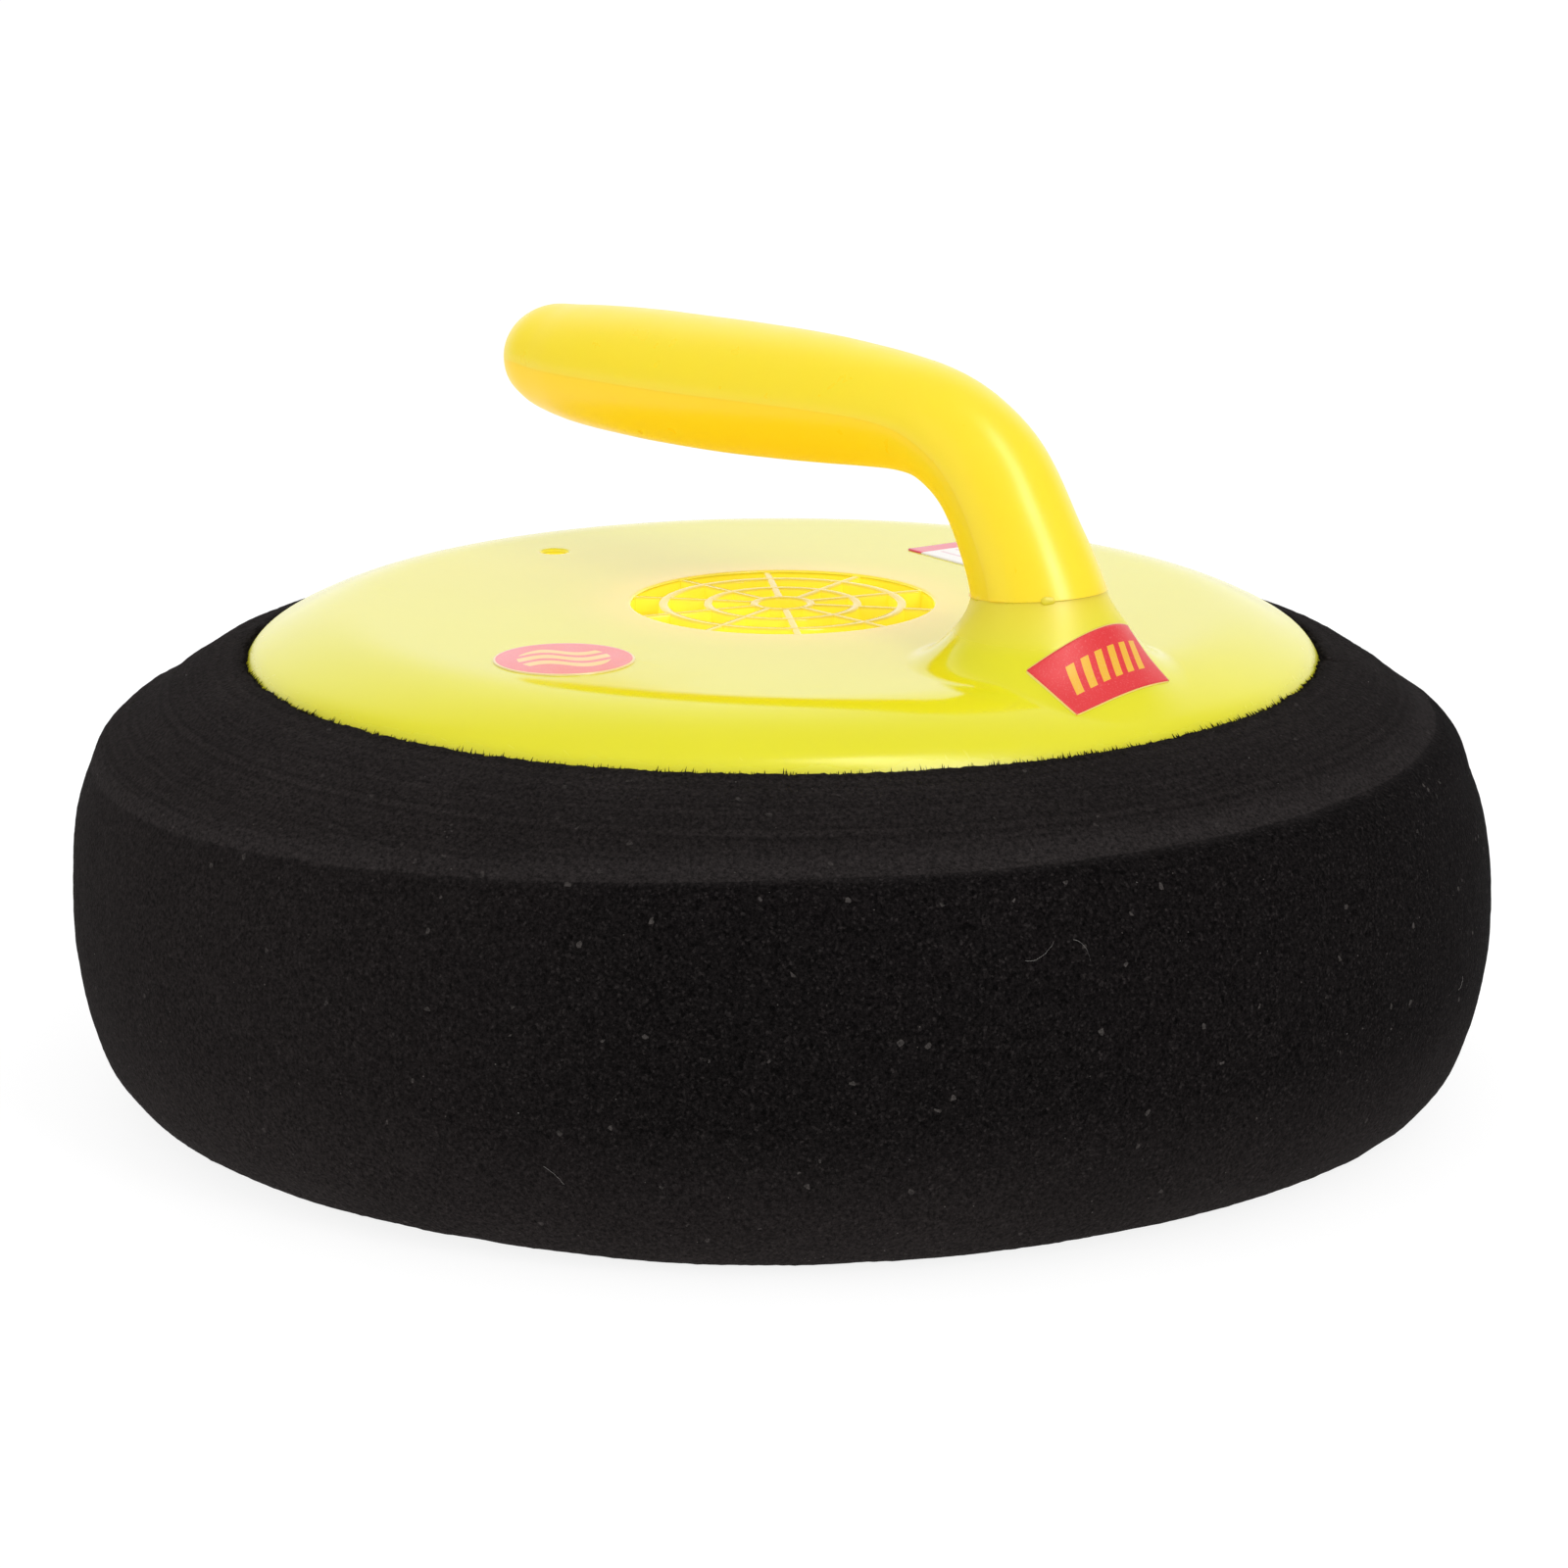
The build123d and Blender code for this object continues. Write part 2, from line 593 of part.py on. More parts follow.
def cell(y, flip):
    """A cell lying along X, its button towards +X, or -X when flipped."""
    body = rod(CELL_R, 0, 48.9)
    body = fillet(body.edges().filter_by(GeomType.CIRCLE), 0.5)
    body += rod(2.6, 48.5, CELL_L)
    body -= ring(4.6, 5.6, 48.5, 50)
    body = Rot(0, 90, 0) * (Pos(0, 0, -CELL_L / 2) * body)
    if flip:
        body = Rot(0, 0, 180) * body
    return Pos(-CELL_SHIFT if flip else CELL_SHIFT, y, CELL_Z) * body


def contact_plate(side, first, last, has_tab):
    x = side * CONTACT_X
    y0, y1 = CELL_ROWS[first], CELL_ROWS[last]
    plate = block(x - 0.2, x + 0.2, y0 - 5.5, y1 + 5.5, 8.8, 20.6)
    if has_tab:
        plate += slab(0.2, 2, 20, 26.5, x, y0)
    return plate


def leaf_spring(side, y):
    """A bowed leaf: its foot stands on the plate and its crown presses on the cell's base."""
    foot, crown, inward = side * 28.38, side * 21.75, -side
    # x, z from the cell's axis
    line = [
        (foot, -5.2), (foot + 2.6 * inward, -4.4), (crown - 0.9 * inward, -1.7), (crown, 0),
        (crown - 0.9 * inward, 1.7), (foot + 2.6 * inward, 4.4), (foot + 0.8 * inward, 5.0),
    ]
    under = [
        (foot, -4.8),
        *[(x - 0.18 * inward, z * 0.93) for x, z in line[1:-1]],
        (line[-1][0], line[-1][1] * 0.93),
    ]
    face = poly_face([(x, CELL_Z + z) for x, z in line + under[::-1]])
    return Pos(0, y, 0) * extrude(face, 2.6, dir=(0, 1, 0), both=True)


save("battery_cells", [cell(y, i % 2 == 1) for i, y in enumerate(CELL_ROWS)])
# side, first and last cell row, supply tab
CONTACTS = [(1, 0, 0, True), (1, 1, 2, False), (1, 3, 3, True), (-1, 0, 1, False), (-1, 2, 3, False)]
save("contact_plates", [contact_plate(*contact) for contact in CONTACTS])
save("contact_springs", [leaf_spring(1 if i % 2 else -1, y) for i, y in enumerate(CELL_ROWS)])

# ---------------------------------------------------------------- switch
PIN_YS = (-2.5, 0.0, 2.5)

frame = round_upright(slab(3.7, 6.6, 10.62, 16.0, SWITCH_X), 0.5)
frame += slab(2.6, 10.6, 10.62, 11.1, SWITCH_X)
frame -= slab(3.3, 6.2, 11.1, 17, SWITCH_X)
frame -= slab(1.4, 3.6, 10, 12, SWITCH_X)
for side in SIDES:
    frame -= rod(1.15, 10, 12, SWITCH_X, side * SWITCH_SCREW_Y)
save("switch_frame", frame)

pin_base = slab(3.25, 6.15, 14.9, 16.4, SWITCH_X)
for y in PIN_YS:
    pin_base -= slab(0.75, 0.3, 14, 17, SWITCH_X, y)
save("switch_base", pin_base)
save("switch_terminals", [slab(0.7, 0.22, 14.3, 20.5, SWITCH_X, y) for y in PIN_YS])

SLIDER_AT = (SWITCH_X, SWITCH_OFF_Y)
save(
    "switch_lever",
    slab(1.2, 1.2, 8.5, 11.6, *SLIDER_AT) + slab(2.6, 2.2, 11.5, 13.6, *SLIDER_AT),
)

slider = round_upright(slab(4.1, 4.5, 2.4, 7.0, *SLIDER_AT), 1.0)
# finger grooves, then the stem with its pocket for the lever
for i in range(4):
    slider -= slab(5, 0.35, 2, 3.1, SWITCH_X, SWITCH_OFF_Y - 2.7 + 1.8 * i)
slider += slab(1.7, 2.1, 6.5, 10.4, *SLIDER_AT)
slider -= slab(1.25, 1.25, 8.4, 11, *SLIDER_AT)
save("switch_slider", slider)
save("switch_screws", [
    screw(SWITCH_X, side * SWITCH_SCREW_Y, 11.12, head=(1.8, 1.2), shank=(0.9, 3.2), up=False)
    for side in SIDES
])

# ---------------------------------------------------------------- indicator lamp and wiring
LED_TOP = 65.3            # centre of the rounded tip
led = rod(LED_R, 60.6, LED_TOP, LED_X, LED_Y) + Pos(LED_X, LED_Y, LED_TOP) * Sphere(LED_R)
led = led + rod(1.9, 57.4, 58.4, LED_X, LED_Y) + rod(LED_R, 58.2, 61, LED_X, LED_Y)
save("indicator_led", led)


def wire(points, r=0.65):
    path = Spline(*points)
    return sweep(Plane(origin=path @ 0, z_dir=path % 0) * Circle(r), path=path)


TAB_Y = CELL_ROWS[-1]
# battery to switch, then switch to motor
save("wire_red", [
    wire([(28.0, TAB_Y, 27.3), (24, 30, 28.5), (0, 36, 30), (-32, 26, 27), (-49.5, 9, 23),
          (-51.4, 3.0, 21.3)]),
    wire([(-51.4, 0.0, 21.3), (-48, -1.5, 25), (-38, -6.0, 29), (-26, -12, 29),
          (-9, -13.5, 27), (-1.0, -8.2, 25.0), (-0.6, -6.6, 25.0)]),
])
# battery to motor
save("wire_black", [
    wire([(28.0, -TAB_Y, 27.3), (26, -14, 29.5), (23, 0, 30), (17, 11, 28), (6, 13, 26),
          (0.9, 8.2, 25.0), (0.5, 6.6, 25.0)]),
])
# run of the lamp wire on the +Y side; the other is its mirror image
LED_RUN = [
    (-51.5, 1.2, 54), (-57, 2.4, 50), (-63.6, 3.2, 45), (-64.4, 3.2, 38), (-60, 5.0, 28),
    (-53.0, 3.6, 22.6),
]
save("led_wires", [
    wire([(LED_X, LED_Y + side * 0.6, 56.7), *[(x, side * y, z) for x, y, z in LED_RUN]], 0.42)
    for side in (1, -1)
])

# ---------------------------------------------------------------- labels
UP = Vector(0, 0, 1)


def label(outline, normal):
    """A thin patch of the outer form's surface inside outline, raised along normal."""
    lift = normal * LABEL_T
    return ((Pos(lift.X, lift.Y, lift.Z) * envelope) & outline) - envelope


def rounded_prism(width, height, r, depth):
    return extrude(RectangleRounded(width, height, r), depth, both=True)


save("round_label", label(rod(9.5, 64, 72, 8.12, -46.65), UP))
rear_outline = Pos(-6.2, 43.85, 68) * Rot(0, 0, -6.7) * rounded_prism(16, 14, 0.8, 4)
save("rear_label", label(rear_outline, UP))
# on the pedestal's slope, facing +X and up
side_normal = Vector(0.66, -0.08, 0.746).normalized()
side_plane = Plane(origin=(64.0, -1.47, 68.6), x_dir=(-0.03, 0.99, 0.134), z_dir=side_normal)
save("side_label", label(side_plane * rounded_prism(19.2, 9.8, 0.6, 6), side_normal))
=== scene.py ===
"""A round battery appliance with a yellow cover, a grille, a hooped handle and a black foam ring.

The body stands on the floor about the z axis. The grille is at the centre of the crown, the
lamp's hole lies towards -x, and the handle rises from a pedestal at +x and reaches back over
the crown to -x. Shapes are in millimetres; materials, lights and camera are in metres.
"""

import math
import bpy
import numpy as np
from mathutils import Vector, Matrix, geometry

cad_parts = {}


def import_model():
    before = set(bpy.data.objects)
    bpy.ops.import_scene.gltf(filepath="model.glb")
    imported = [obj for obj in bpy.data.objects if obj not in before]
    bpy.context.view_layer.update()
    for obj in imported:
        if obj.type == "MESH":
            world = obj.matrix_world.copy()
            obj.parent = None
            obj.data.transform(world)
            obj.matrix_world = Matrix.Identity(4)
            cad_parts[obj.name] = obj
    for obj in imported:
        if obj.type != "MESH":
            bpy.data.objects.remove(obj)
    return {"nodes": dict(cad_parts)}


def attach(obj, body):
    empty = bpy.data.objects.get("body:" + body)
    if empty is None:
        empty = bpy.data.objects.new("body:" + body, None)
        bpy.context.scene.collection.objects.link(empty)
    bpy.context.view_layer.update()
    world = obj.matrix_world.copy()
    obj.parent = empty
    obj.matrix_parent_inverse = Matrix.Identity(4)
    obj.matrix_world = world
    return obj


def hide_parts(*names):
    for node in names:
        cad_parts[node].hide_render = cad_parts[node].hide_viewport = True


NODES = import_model()["nodes"]
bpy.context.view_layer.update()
MM = 0.001
COLLECTION = bpy.context.scene.collection
TURN = 2 * math.pi

# The camera's bearing, and the level directions to its right and towards it
VIEW_AZIMUTH = math.radians(48)
VIEW_COS, VIEW_SIN = math.cos(VIEW_AZIMUTH), math.sin(VIEW_AZIMUTH)
VIEW_RIGHT = Vector((VIEW_COS, VIEW_SIN, 0))
VIEW_TOWARDS = Vector((VIEW_SIN, -VIEW_COS, 0))

# ------------------------------------------------------------------ shared shape numbers (mm)
CROWN_Z, CROWN_R, CROWN_DROP = 68.1, 56.0, 0.16
# the cover's shoulder, from the crown to the skirt: radius, z
SHOULDER = [
    (56, 67.94), (60, 67.86), (62.5, 67.58), (65, 66.98), (68, 65.9), (70, 65.0),
    (72, 63.95), (73.5, 62.9), (74.6, 61.6), (75.4, 59.9), (76, 57),
]
COVER_R = SHOULDER[-1][0]
GRILLE_R, GRILLE_DEPTH = 21.3, 4.2
# the handle's pedestal, from the joint to the foot: centre x, z, radius, lean in degrees
PEDESTAL = [
    (50.9, 77.4, 8.95, 5.0), (51.2, 75.6, 9.7, 4.0), (51.45, 73.6, 10.95, 2.5),
    (51.5, 71.2, 12.9, 1.0), (51.5, 69.2, 14.7, 0.0), (51.5, 67.1, 16.6, 0.0),
    (51.5, 65.2, 18.2, 0.0), (51.5, 62.6, 20.2, 0.0), (51.5, 60.4, 21.6, 0.0),
]
JOINT_X, JOINT_Z, JOINT_R, JOINT_LEAN = PEDESTAL[0]
JOINT_SLOPE = 0.087
PEDESTAL_X, PEDESTAL_FOOT_R = PEDESTAL[-1][0], PEDESTAL[-1][2]
PEDESTAL_BLEND = 3.0
PEDESTAL_SEGMENTS = 144
# the handle, from its tip to the joint: centre x, centre z, half height, half width
GRIP = [
    (-56.45, 96.5, 0.8, 0.8), (-56.1, 96.5, 2.35, 2.45), (-55.4, 96.5, 3.75, 4.0),
    (-54.1, 96.53, 5.35, 5.75), (-52.2, 96.6, 6.65, 7.05), (-49.6, 96.65, 7.6, 7.9),
    (-46.0, 96.5, 8.1, 8.45), (-40.5, 96.45, 8.65, 9.15), (-33.0, 96.6, 9.05, 9.5),
    (-24.0, 96.8, 9.3, 9.65), (-12.0, 97.15, 9.35, 9.65), (0.5, 97.65, 9.15, 9.4),
    (10.0, 98.0, 8.8, 9.0), (19.0, 98.2, 8.25, 8.5), (26.5, 98.05, 7.8, 8.1),
    (32.5, 97.1, 7.65, 7.9), (37.5, 95.0, 7.75, 7.9), (41.6, 92.1, 7.9, 8.0),
    (44.8, 88.2, 8.0, 8.1), (47.4, 83.9, 8.2, 8.25), (49.6, 79.9, 8.6, 8.65),
    (51.1, 76.4, 9.05, 9.05), (52.4, 73.0, 9.3, 9.3),
]
LED_X, LED_Y = -48.7, -1.0


# ------------------------------------------------------------------ numeric helpers
def cubic(knots, values, end_slopes=None):
    """Cubic spline through the points: natural, or with the given slopes at its ends."""
    knots, values = np.array(knots, float), np.array(values, float)
    count = len(knots)
    gaps = np.diff(knots)
    slopes = np.diff(values) / gaps
    matrix = np.zeros((count, count))
    right = np.zeros(count)
    for i in range(1, count - 1):
        matrix[i, i - 1 : i + 2] = gaps[i - 1], 2 * (gaps[i - 1] + gaps[i]), gaps[i]
        right[i] = 3 * (slopes[i] - slopes[i - 1])
    matrix[0, 0] = matrix[-1, -1] = 1
    if end_slopes is not None:
        matrix[0, 0], matrix[0, 1] = 2 * gaps[0], gaps[0]
        right[0] = 3 * (slopes[0] - end_slopes[0])
        matrix[-1, -1], matrix[-1, -2] = 2 * gaps[-1], gaps[-1]
        right[-1] = 3 * (end_slopes[1] - slopes[-1])
    second = np.linalg.solve(matrix, right)
    first = slopes - gaps * (2 * second[:-1] + second[1:]) / 3
    third = np.diff(second) / (3 * gaps)

    def evaluate(x):
        x = np.asarray(x, float)
        i = np.clip(np.searchsorted(knots, x) - 1, 0, count - 2)
        t = x - knots[i]
        return values[i] + first[i] * t + second[i] * t * t + third[i] * t**3

    return evaluate


def monotone_cubic(knots, values):
    """Cubic through the points that doesn't overshoot them."""
    knots, values = np.array(knots, float), np.array(values, float)
    gaps = np.diff(knots)
    slopes = np.diff(values) / gaps
    tangents = np.zeros(len(knots))
    tangents[0], tangents[-1] = slopes[0], slopes[-1]
    for i in range(1, len(knots) - 1):
        if slopes[i - 1] * slopes[i] > 0:
            before, after = 2 * gaps[i] + gaps[i - 1], gaps[i] + 2 * gaps[i - 1]
            tangents[i] = (before + after) / (before / slopes[i - 1] + after / slopes[i])

    def evaluate(x):
        x = np.asarray(x, float)
        i = np.clip(np.searchsorted(knots, x) - 1, 0, len(knots) - 2)
        t = (x - knots[i]) / gaps[i]
        return (
            (2 * t**3 - 3 * t**2 + 1) * values[i]
            + (t**3 - 2 * t**2 + t) * gaps[i] * tangents[i]
            + (-2 * t**3 + 3 * t**2) * values[i + 1]
            + (t**3 - t**2) * gaps[i] * tangents[i + 1]
        )

    return evaluate


def chord_lengths(points):
    """Running length along a line of 2-D points."""
    steps = np.diff(np.array(points, float), axis=0)
    return np.concatenate([[0], np.cumsum(np.hypot(steps[:, 0], steps[:, 1]))])


def smooth_noise(rows, cols, row_cells, col_cells, rng):
    """Smooth random field of rows by cols values, about -1 to 1, periodic along the rows."""
    grid = rng.normal(size=(row_cells, col_cells + 1)) * 0.6
    row_at = np.linspace(0, row_cells, rows, endpoint=False)
    col_at = np.linspace(0, col_cells, cols)
    row0 = row_at.astype(int)
    col0 = np.minimum(col_at.astype(int), col_cells - 1)
    row1 = (row0 + 1) % row_cells
    row_t, col_t = (t * t * (3 - 2 * t) for t in (row_at - row0, col_at - col0))
    row_t, col_t = row_t[:, None], col_t[None, :]

    def between_rows(col):
        return grid[np.ix_(row0, col)] * (1 - row_t) + grid[np.ix_(row1, col)] * row_t

    return between_rows(col0) * (1 - col_t) + between_rows(col0 + 1) * col_t


# ------------------------------------------------------------------ mesh helpers
# Corner orders of a grid's quads: the first step goes along the rows' direction or the columns'
ROWS_FIRST, ROWS_FIRST_BACK = (0, 1, 2, 3), (3, 2, 1, 0)
COLS_FIRST, COLS_FIRST_BACK = (0, 3, 2, 1), (1, 2, 3, 0)


def grid_faces(rows, cols, base=0, wrap_rows=False, wrap_cols=False, order=ROWS_FIRST):
    """Quads of a grid whose vertex at (i, j) is base + i * cols + j."""
    faces = []
    for i in range(rows if wrap_rows else rows - 1):
        this_row, next_row = base + i * cols, base + (i + 1) % rows * cols
        for j in range(cols if wrap_cols else cols - 1):
            k = (j + 1) % cols
            corners = (this_row + j, next_row + j, next_row + k, this_row + k)
            faces.append(tuple(corners[c] for c in order))
    return faces


def piece(name, verts, faces, material, replaces=()):
    """A smooth-shaded mesh piece from millimetre points."""
    mesh = bpy.data.meshes.new(name)
    points = (np.asarray(verts, float) * MM).tolist()
    mesh.from_pydata([tuple(p) for p in points], [], [list(map(int, f)) for f in faces])
    mesh.validate()
    mesh.update()
    mesh.shade_smooth()
    piece_object = bpy.data.objects.new(name, mesh)
    COLLECTION.objects.link(piece_object)
    mesh.materials.append(material)
    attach(piece_object, "stone")
    if replaces:
        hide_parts(*replaces)
    return piece_object


# ------------------------------------------------------------------ shader helpers
def connect(value, socket):
    """Links a Signal to an input, or sets the input to a plain value."""
    if isinstance(value, Signal):
        socket.id_data.links.new(value.socket, socket)
    else:
        socket.default_value = value


def math_node(operation, first, second=0.0):
    """A Math node; at least one operand is a Signal."""
    source = first if isinstance(first, Signal) else second
    node = source.socket.id_data.nodes.new("ShaderNodeMath")
    node.operation = operation
    for socket, value in zip(node.inputs, (first, second, 0.0)):
        connect(value, socket)
    return Signal(node.outputs[0])


class Signal:
    """A node's output. Arithmetic and comparison on it add Math nodes."""

    def __init__(self, socket):
        self.socket = socket

    def __add__(self, other):
        return math_node("ADD", self, other)

    def __radd__(self, other):
        return math_node("ADD", other, self)

    def __sub__(self, other):
        return math_node("SUBTRACT", self, other)

    def __rsub__(self, other):
        return math_node("SUBTRACT", other, self)

    def __mul__(self, other):
        return math_node("MULTIPLY", self, other)

    def __pow__(self, other):
        return math_node("POWER", self, other)

    def __gt__(self, other):
        return math_node("GREATER_THAN", self, other)

    def __lt__(self, other):
        return math_node("LESS_THAN", self, other)

    def __abs__(self):
        return math_node("ABSOLUTE", self)

    def clamped(self):
        """Clamps the Math node this comes from to 0..1."""
        self.socket.node.use_clamp = True
        return self

    def ramp(self, over, to=(0.0, 1.0)):
        """Carries the range `over` linearly to the range `to`, held at both ends."""
        node = self.socket.id_data.nodes.new("ShaderNodeMapRange")
        values = (self, *over, *to)
        for key, value in zip(("Value", "From Min", "From Max", "To Min", "To Max"), values):
            connect(value, node.inputs[key])
        return Signal(node.outputs[0])


def length(x, y):
    return math_node("SQRT", x * x + y * y)


def rgba(color):
    return color if isinstance(color, Signal) else (*color, 1.0)


class Shader:
    """Adds nodes to the emptied node tree of a material or world."""

    def __init__(self, owner):
        owner.use_nodes = True
        self.tree = owner.node_tree
        self.tree.nodes.clear()

    def node(self, kind, inputs=None, **settings):
        node = self.tree.nodes.new(kind)
        for name, value in settings.items():
            setattr(node, name, value)
        for key, value in (inputs or {}).items():
            connect(value, node.inputs[key])
        return node

    def signal(self, kind, inputs=None, output=0, **settings):
        return Signal(self.node(kind, inputs, **settings).outputs[output])


class Material(Shader):
    """A material in object coordinates, in metres. Texture sizes are given in mm."""

    def __init__(self, name):
        self.material = bpy.data.materials.new(name)
        super().__init__(self.material)
        self.coords = self.signal("ShaderNodeTexCoord", output="Object")

    def map(self, scale=(1, 1, 1), turn=(0, 0, 0)):
        inputs = {"Vector": self.coords, "Scale": scale, "Rotation": turn}
        return self.signal("ShaderNodeMapping", inputs)

    def noise(self, mm, detail, rough=0.55, coords=None):
        inputs = {
            "Vector": coords or self.coords,
            "Scale": 1000.0 / mm,
            "Detail": detail,
            "Roughness": rough,
        }
        return self.signal("ShaderNodeTexNoise", inputs, "Fac")

    def cells(self, mm, coords=None, output="Distance"):
        inputs = {"Vector": coords or self.coords, "Scale": 1000.0 / mm}
        return self.signal("ShaderNodeTexVoronoi", inputs, output, feature="F1")

    def cell_random(self, mm, channel, coords=None):
        """A random value per cell, from one channel of the cell's colour."""
        color = self.cells(mm, coords, "Color")
        return self.signal("ShaderNodeSeparateColor", {0: color}, channel)

    def scuffs(self, scale, turn, full, rougher):
        """Extra roughness in hairline scuffs; `full` is the noise level of a full scuff."""
        hairs = self.noise(mm=1.0, detail=2, coords=self.map(scale, turn))
        return hairs.ramp(over=(0.66, full), to=(0, rougher))

    def mix(self, factor, first, second, mode="MIX"):
        inputs = {0: factor, 6: rgba(first), 7: rgba(second)}
        return self.signal("ShaderNodeMix", inputs, 2, data_type="RGBA", blend_type=mode)

    def xyz(self):
        outputs = self.node("ShaderNodeSeparateXYZ", {0: self.coords}).outputs
        return [Signal(output) for output in outputs]

    def bump(self, height, strength, mm, normal=None):
        inputs = {"Height": height, "Strength": strength, "Distance": mm * MM}
        if normal is not None:
            inputs["Normal"] = normal
        return self.signal("ShaderNodeBump", inputs)

    def principled(self, color, rough, normal=None, **others):
        """Principled shader; other inputs are named with _ for each space."""
        inputs = {"Base Color": color, "Roughness": rough}
        if normal is not None:
            inputs["Normal"] = normal
        for key, value in others.items():
            key = key.replace("_", " ")
            inputs[key] = rgba(value) if key.endswith("Color") else value
        return self.signal("ShaderNodeBsdfPrincipled", inputs)

    def finish(self, surface):
        self.node("ShaderNodeOutputMaterial", {"Surface": surface})
        return self.material

    def done(self, color, rough, normal, **others):
        return self.finish(self.principled(color, rough, normal, **others))


# ------------------------------------------------------------------ general materials
def moulded(name, rgb, rough, grain=0.0, **others):
    """Injection-moulded plastic: faint flow clouds, fine waviness, a few hairline scuffs."""
    variation = 0.03
    m = Material(name)
    dark = tuple(c * (1 - variation * 2) for c in rgb)
    light = tuple(min(1.0, c * (1 + variation)) for c in rgb)
    color = m.mix(m.noise(mm=22, detail=2), dark, light)
    fine = m.noise(mm=1.6, detail=3).ramp(over=(0.35, 0.75), to=(0, variation))
    color = m.mix(fine, color, (1, 1, 1), "MULTIPLY")
    patches = m.noise(mm=7, detail=4).ramp(over=(0.3, 0.7), to=(rough * 0.85, rough * 1.15))
    scuffs = m.scuffs(scale=(0.12, 1.6, 0.4), turn=(0.3, 0.2, 0.9), full=0.74, rougher=0.06)
    normal = m.bump(m.noise(mm=2.6, detail=2), strength=0.12, mm=0.05)
    if grain:
        normal = m.bump(m.noise(mm=0.35, detail=2), strength=grain, mm=0.05, normal=normal)
    return m.done(color, patches + scuffs, normal, **others)


def metal(name, rgb, rough, streak_scale=(1, 1, 1)):
    """Streaked metal with darker stains."""
    m = Material(name)
    streak = m.noise(mm=0.5, detail=3, coords=m.map(streak_scale))
    color = m.mix(streak.ramp(over=(0.3, 0.7)), tuple(c * 0.86 for c in rgb), rgb)
    stain = m.noise(mm=4, detail=4).ramp(over=(0.55, 0.8), to=(0, 0.35))
    color = m.mix(stain, color, tuple(c * 0.6 for c in rgb))
    roughness = streak.ramp(over=(0.3, 0.7), to=(rough * 0.8, rough * 1.3))
    return m.done(color, roughness, m.bump(streak, strength=0.15, mm=0.05), Metallic=1.0)


def ferrite_material():
    m = Material("ferrite")
    grain = m.noise(mm=0.4, detail=4, rough=0.7)
    color = m.mix(grain, (0.03, 0.03, 0.032), (0.075, 0.072, 0.07))
    roughness = grain.ramp(over=(0.3, 0.7), to=(0.55, 0.8))
    return m.done(color, roughness, m.bump(grain, strength=0.4, mm=0.1))


def rotor_material():
    """Copper turns, with a grey laminated band round the middle."""
    wire_pitch = 0.00028
    band_low, band_high, band_inner_r = 0.0355, 0.0455, 0.0055
    m = Material("windings")
    x, y, z = m.xyz()
    turns = math_node("SINE", z * (TURN / wire_pitch))
    color = m.mix(turns.ramp(over=(-1, 1)), (0.30, 0.10, 0.035), (0.80, 0.36, 0.14))
    band = (z > band_low) * (z < band_high) * (length(x, y) > band_inner_r)
    color = m.mix(band, color, (0.42, 0.42, 0.43))
    return m.done(color, 0.35, m.bump(turns, strength=0.5, mm=0.08), Metallic=0.85)


def cell_material():
    """Blue jacket, a copper-coloured part towards -x behind a white ring, and metal ends."""
    end_x, copper_x, ring_x, ring_half = 0.0228, -0.013, 0.0136, 0.0005
    m = Material("cell_jacket")
    x = m.xyz()[0]
    end = abs(x) > end_x
    color = m.mix(m.noise(mm=9, detail=2), (0.035, 0.07, 0.19), (0.045, 0.09, 0.24))
    color = m.mix(x < copper_x, color, (0.62, 0.42, 0.12))
    color = m.mix(abs(x + ring_x) < ring_half, color, (0.9, 0.9, 0.9))
    color = m.mix(end, color, (0.66, 0.66, 0.66))
    normal = m.bump(m.noise(mm=1.4, detail=3), strength=0.15, mm=0.05)
    roughness = m.noise(mm=4, detail=3).ramp(over=(0.3, 0.7), to=(0.22, 0.34))
    return m.done(color, roughness, normal, Metallic=end * 0.6 + 0.35)


def lamp_material():
    m = Material("lamp_lens")
    color = m.mix(m.noise(mm=1.2, detail=2), (0.80, 0.66, 0.08), (0.90, 0.78, 0.14))
    normal = m.bump(m.noise(mm=0.8, detail=2), strength=0.1, mm=0.05)
    # the faint emission is painted light that keeps the lamp's hole from reading in shade
    return m.done(
        color, 0.12, normal, Transmission_Weight=0.3, IOR=1.5,
        Emission_Color=(1.0, 0.85, 0.10), Emission_Strength=0.35,
    )


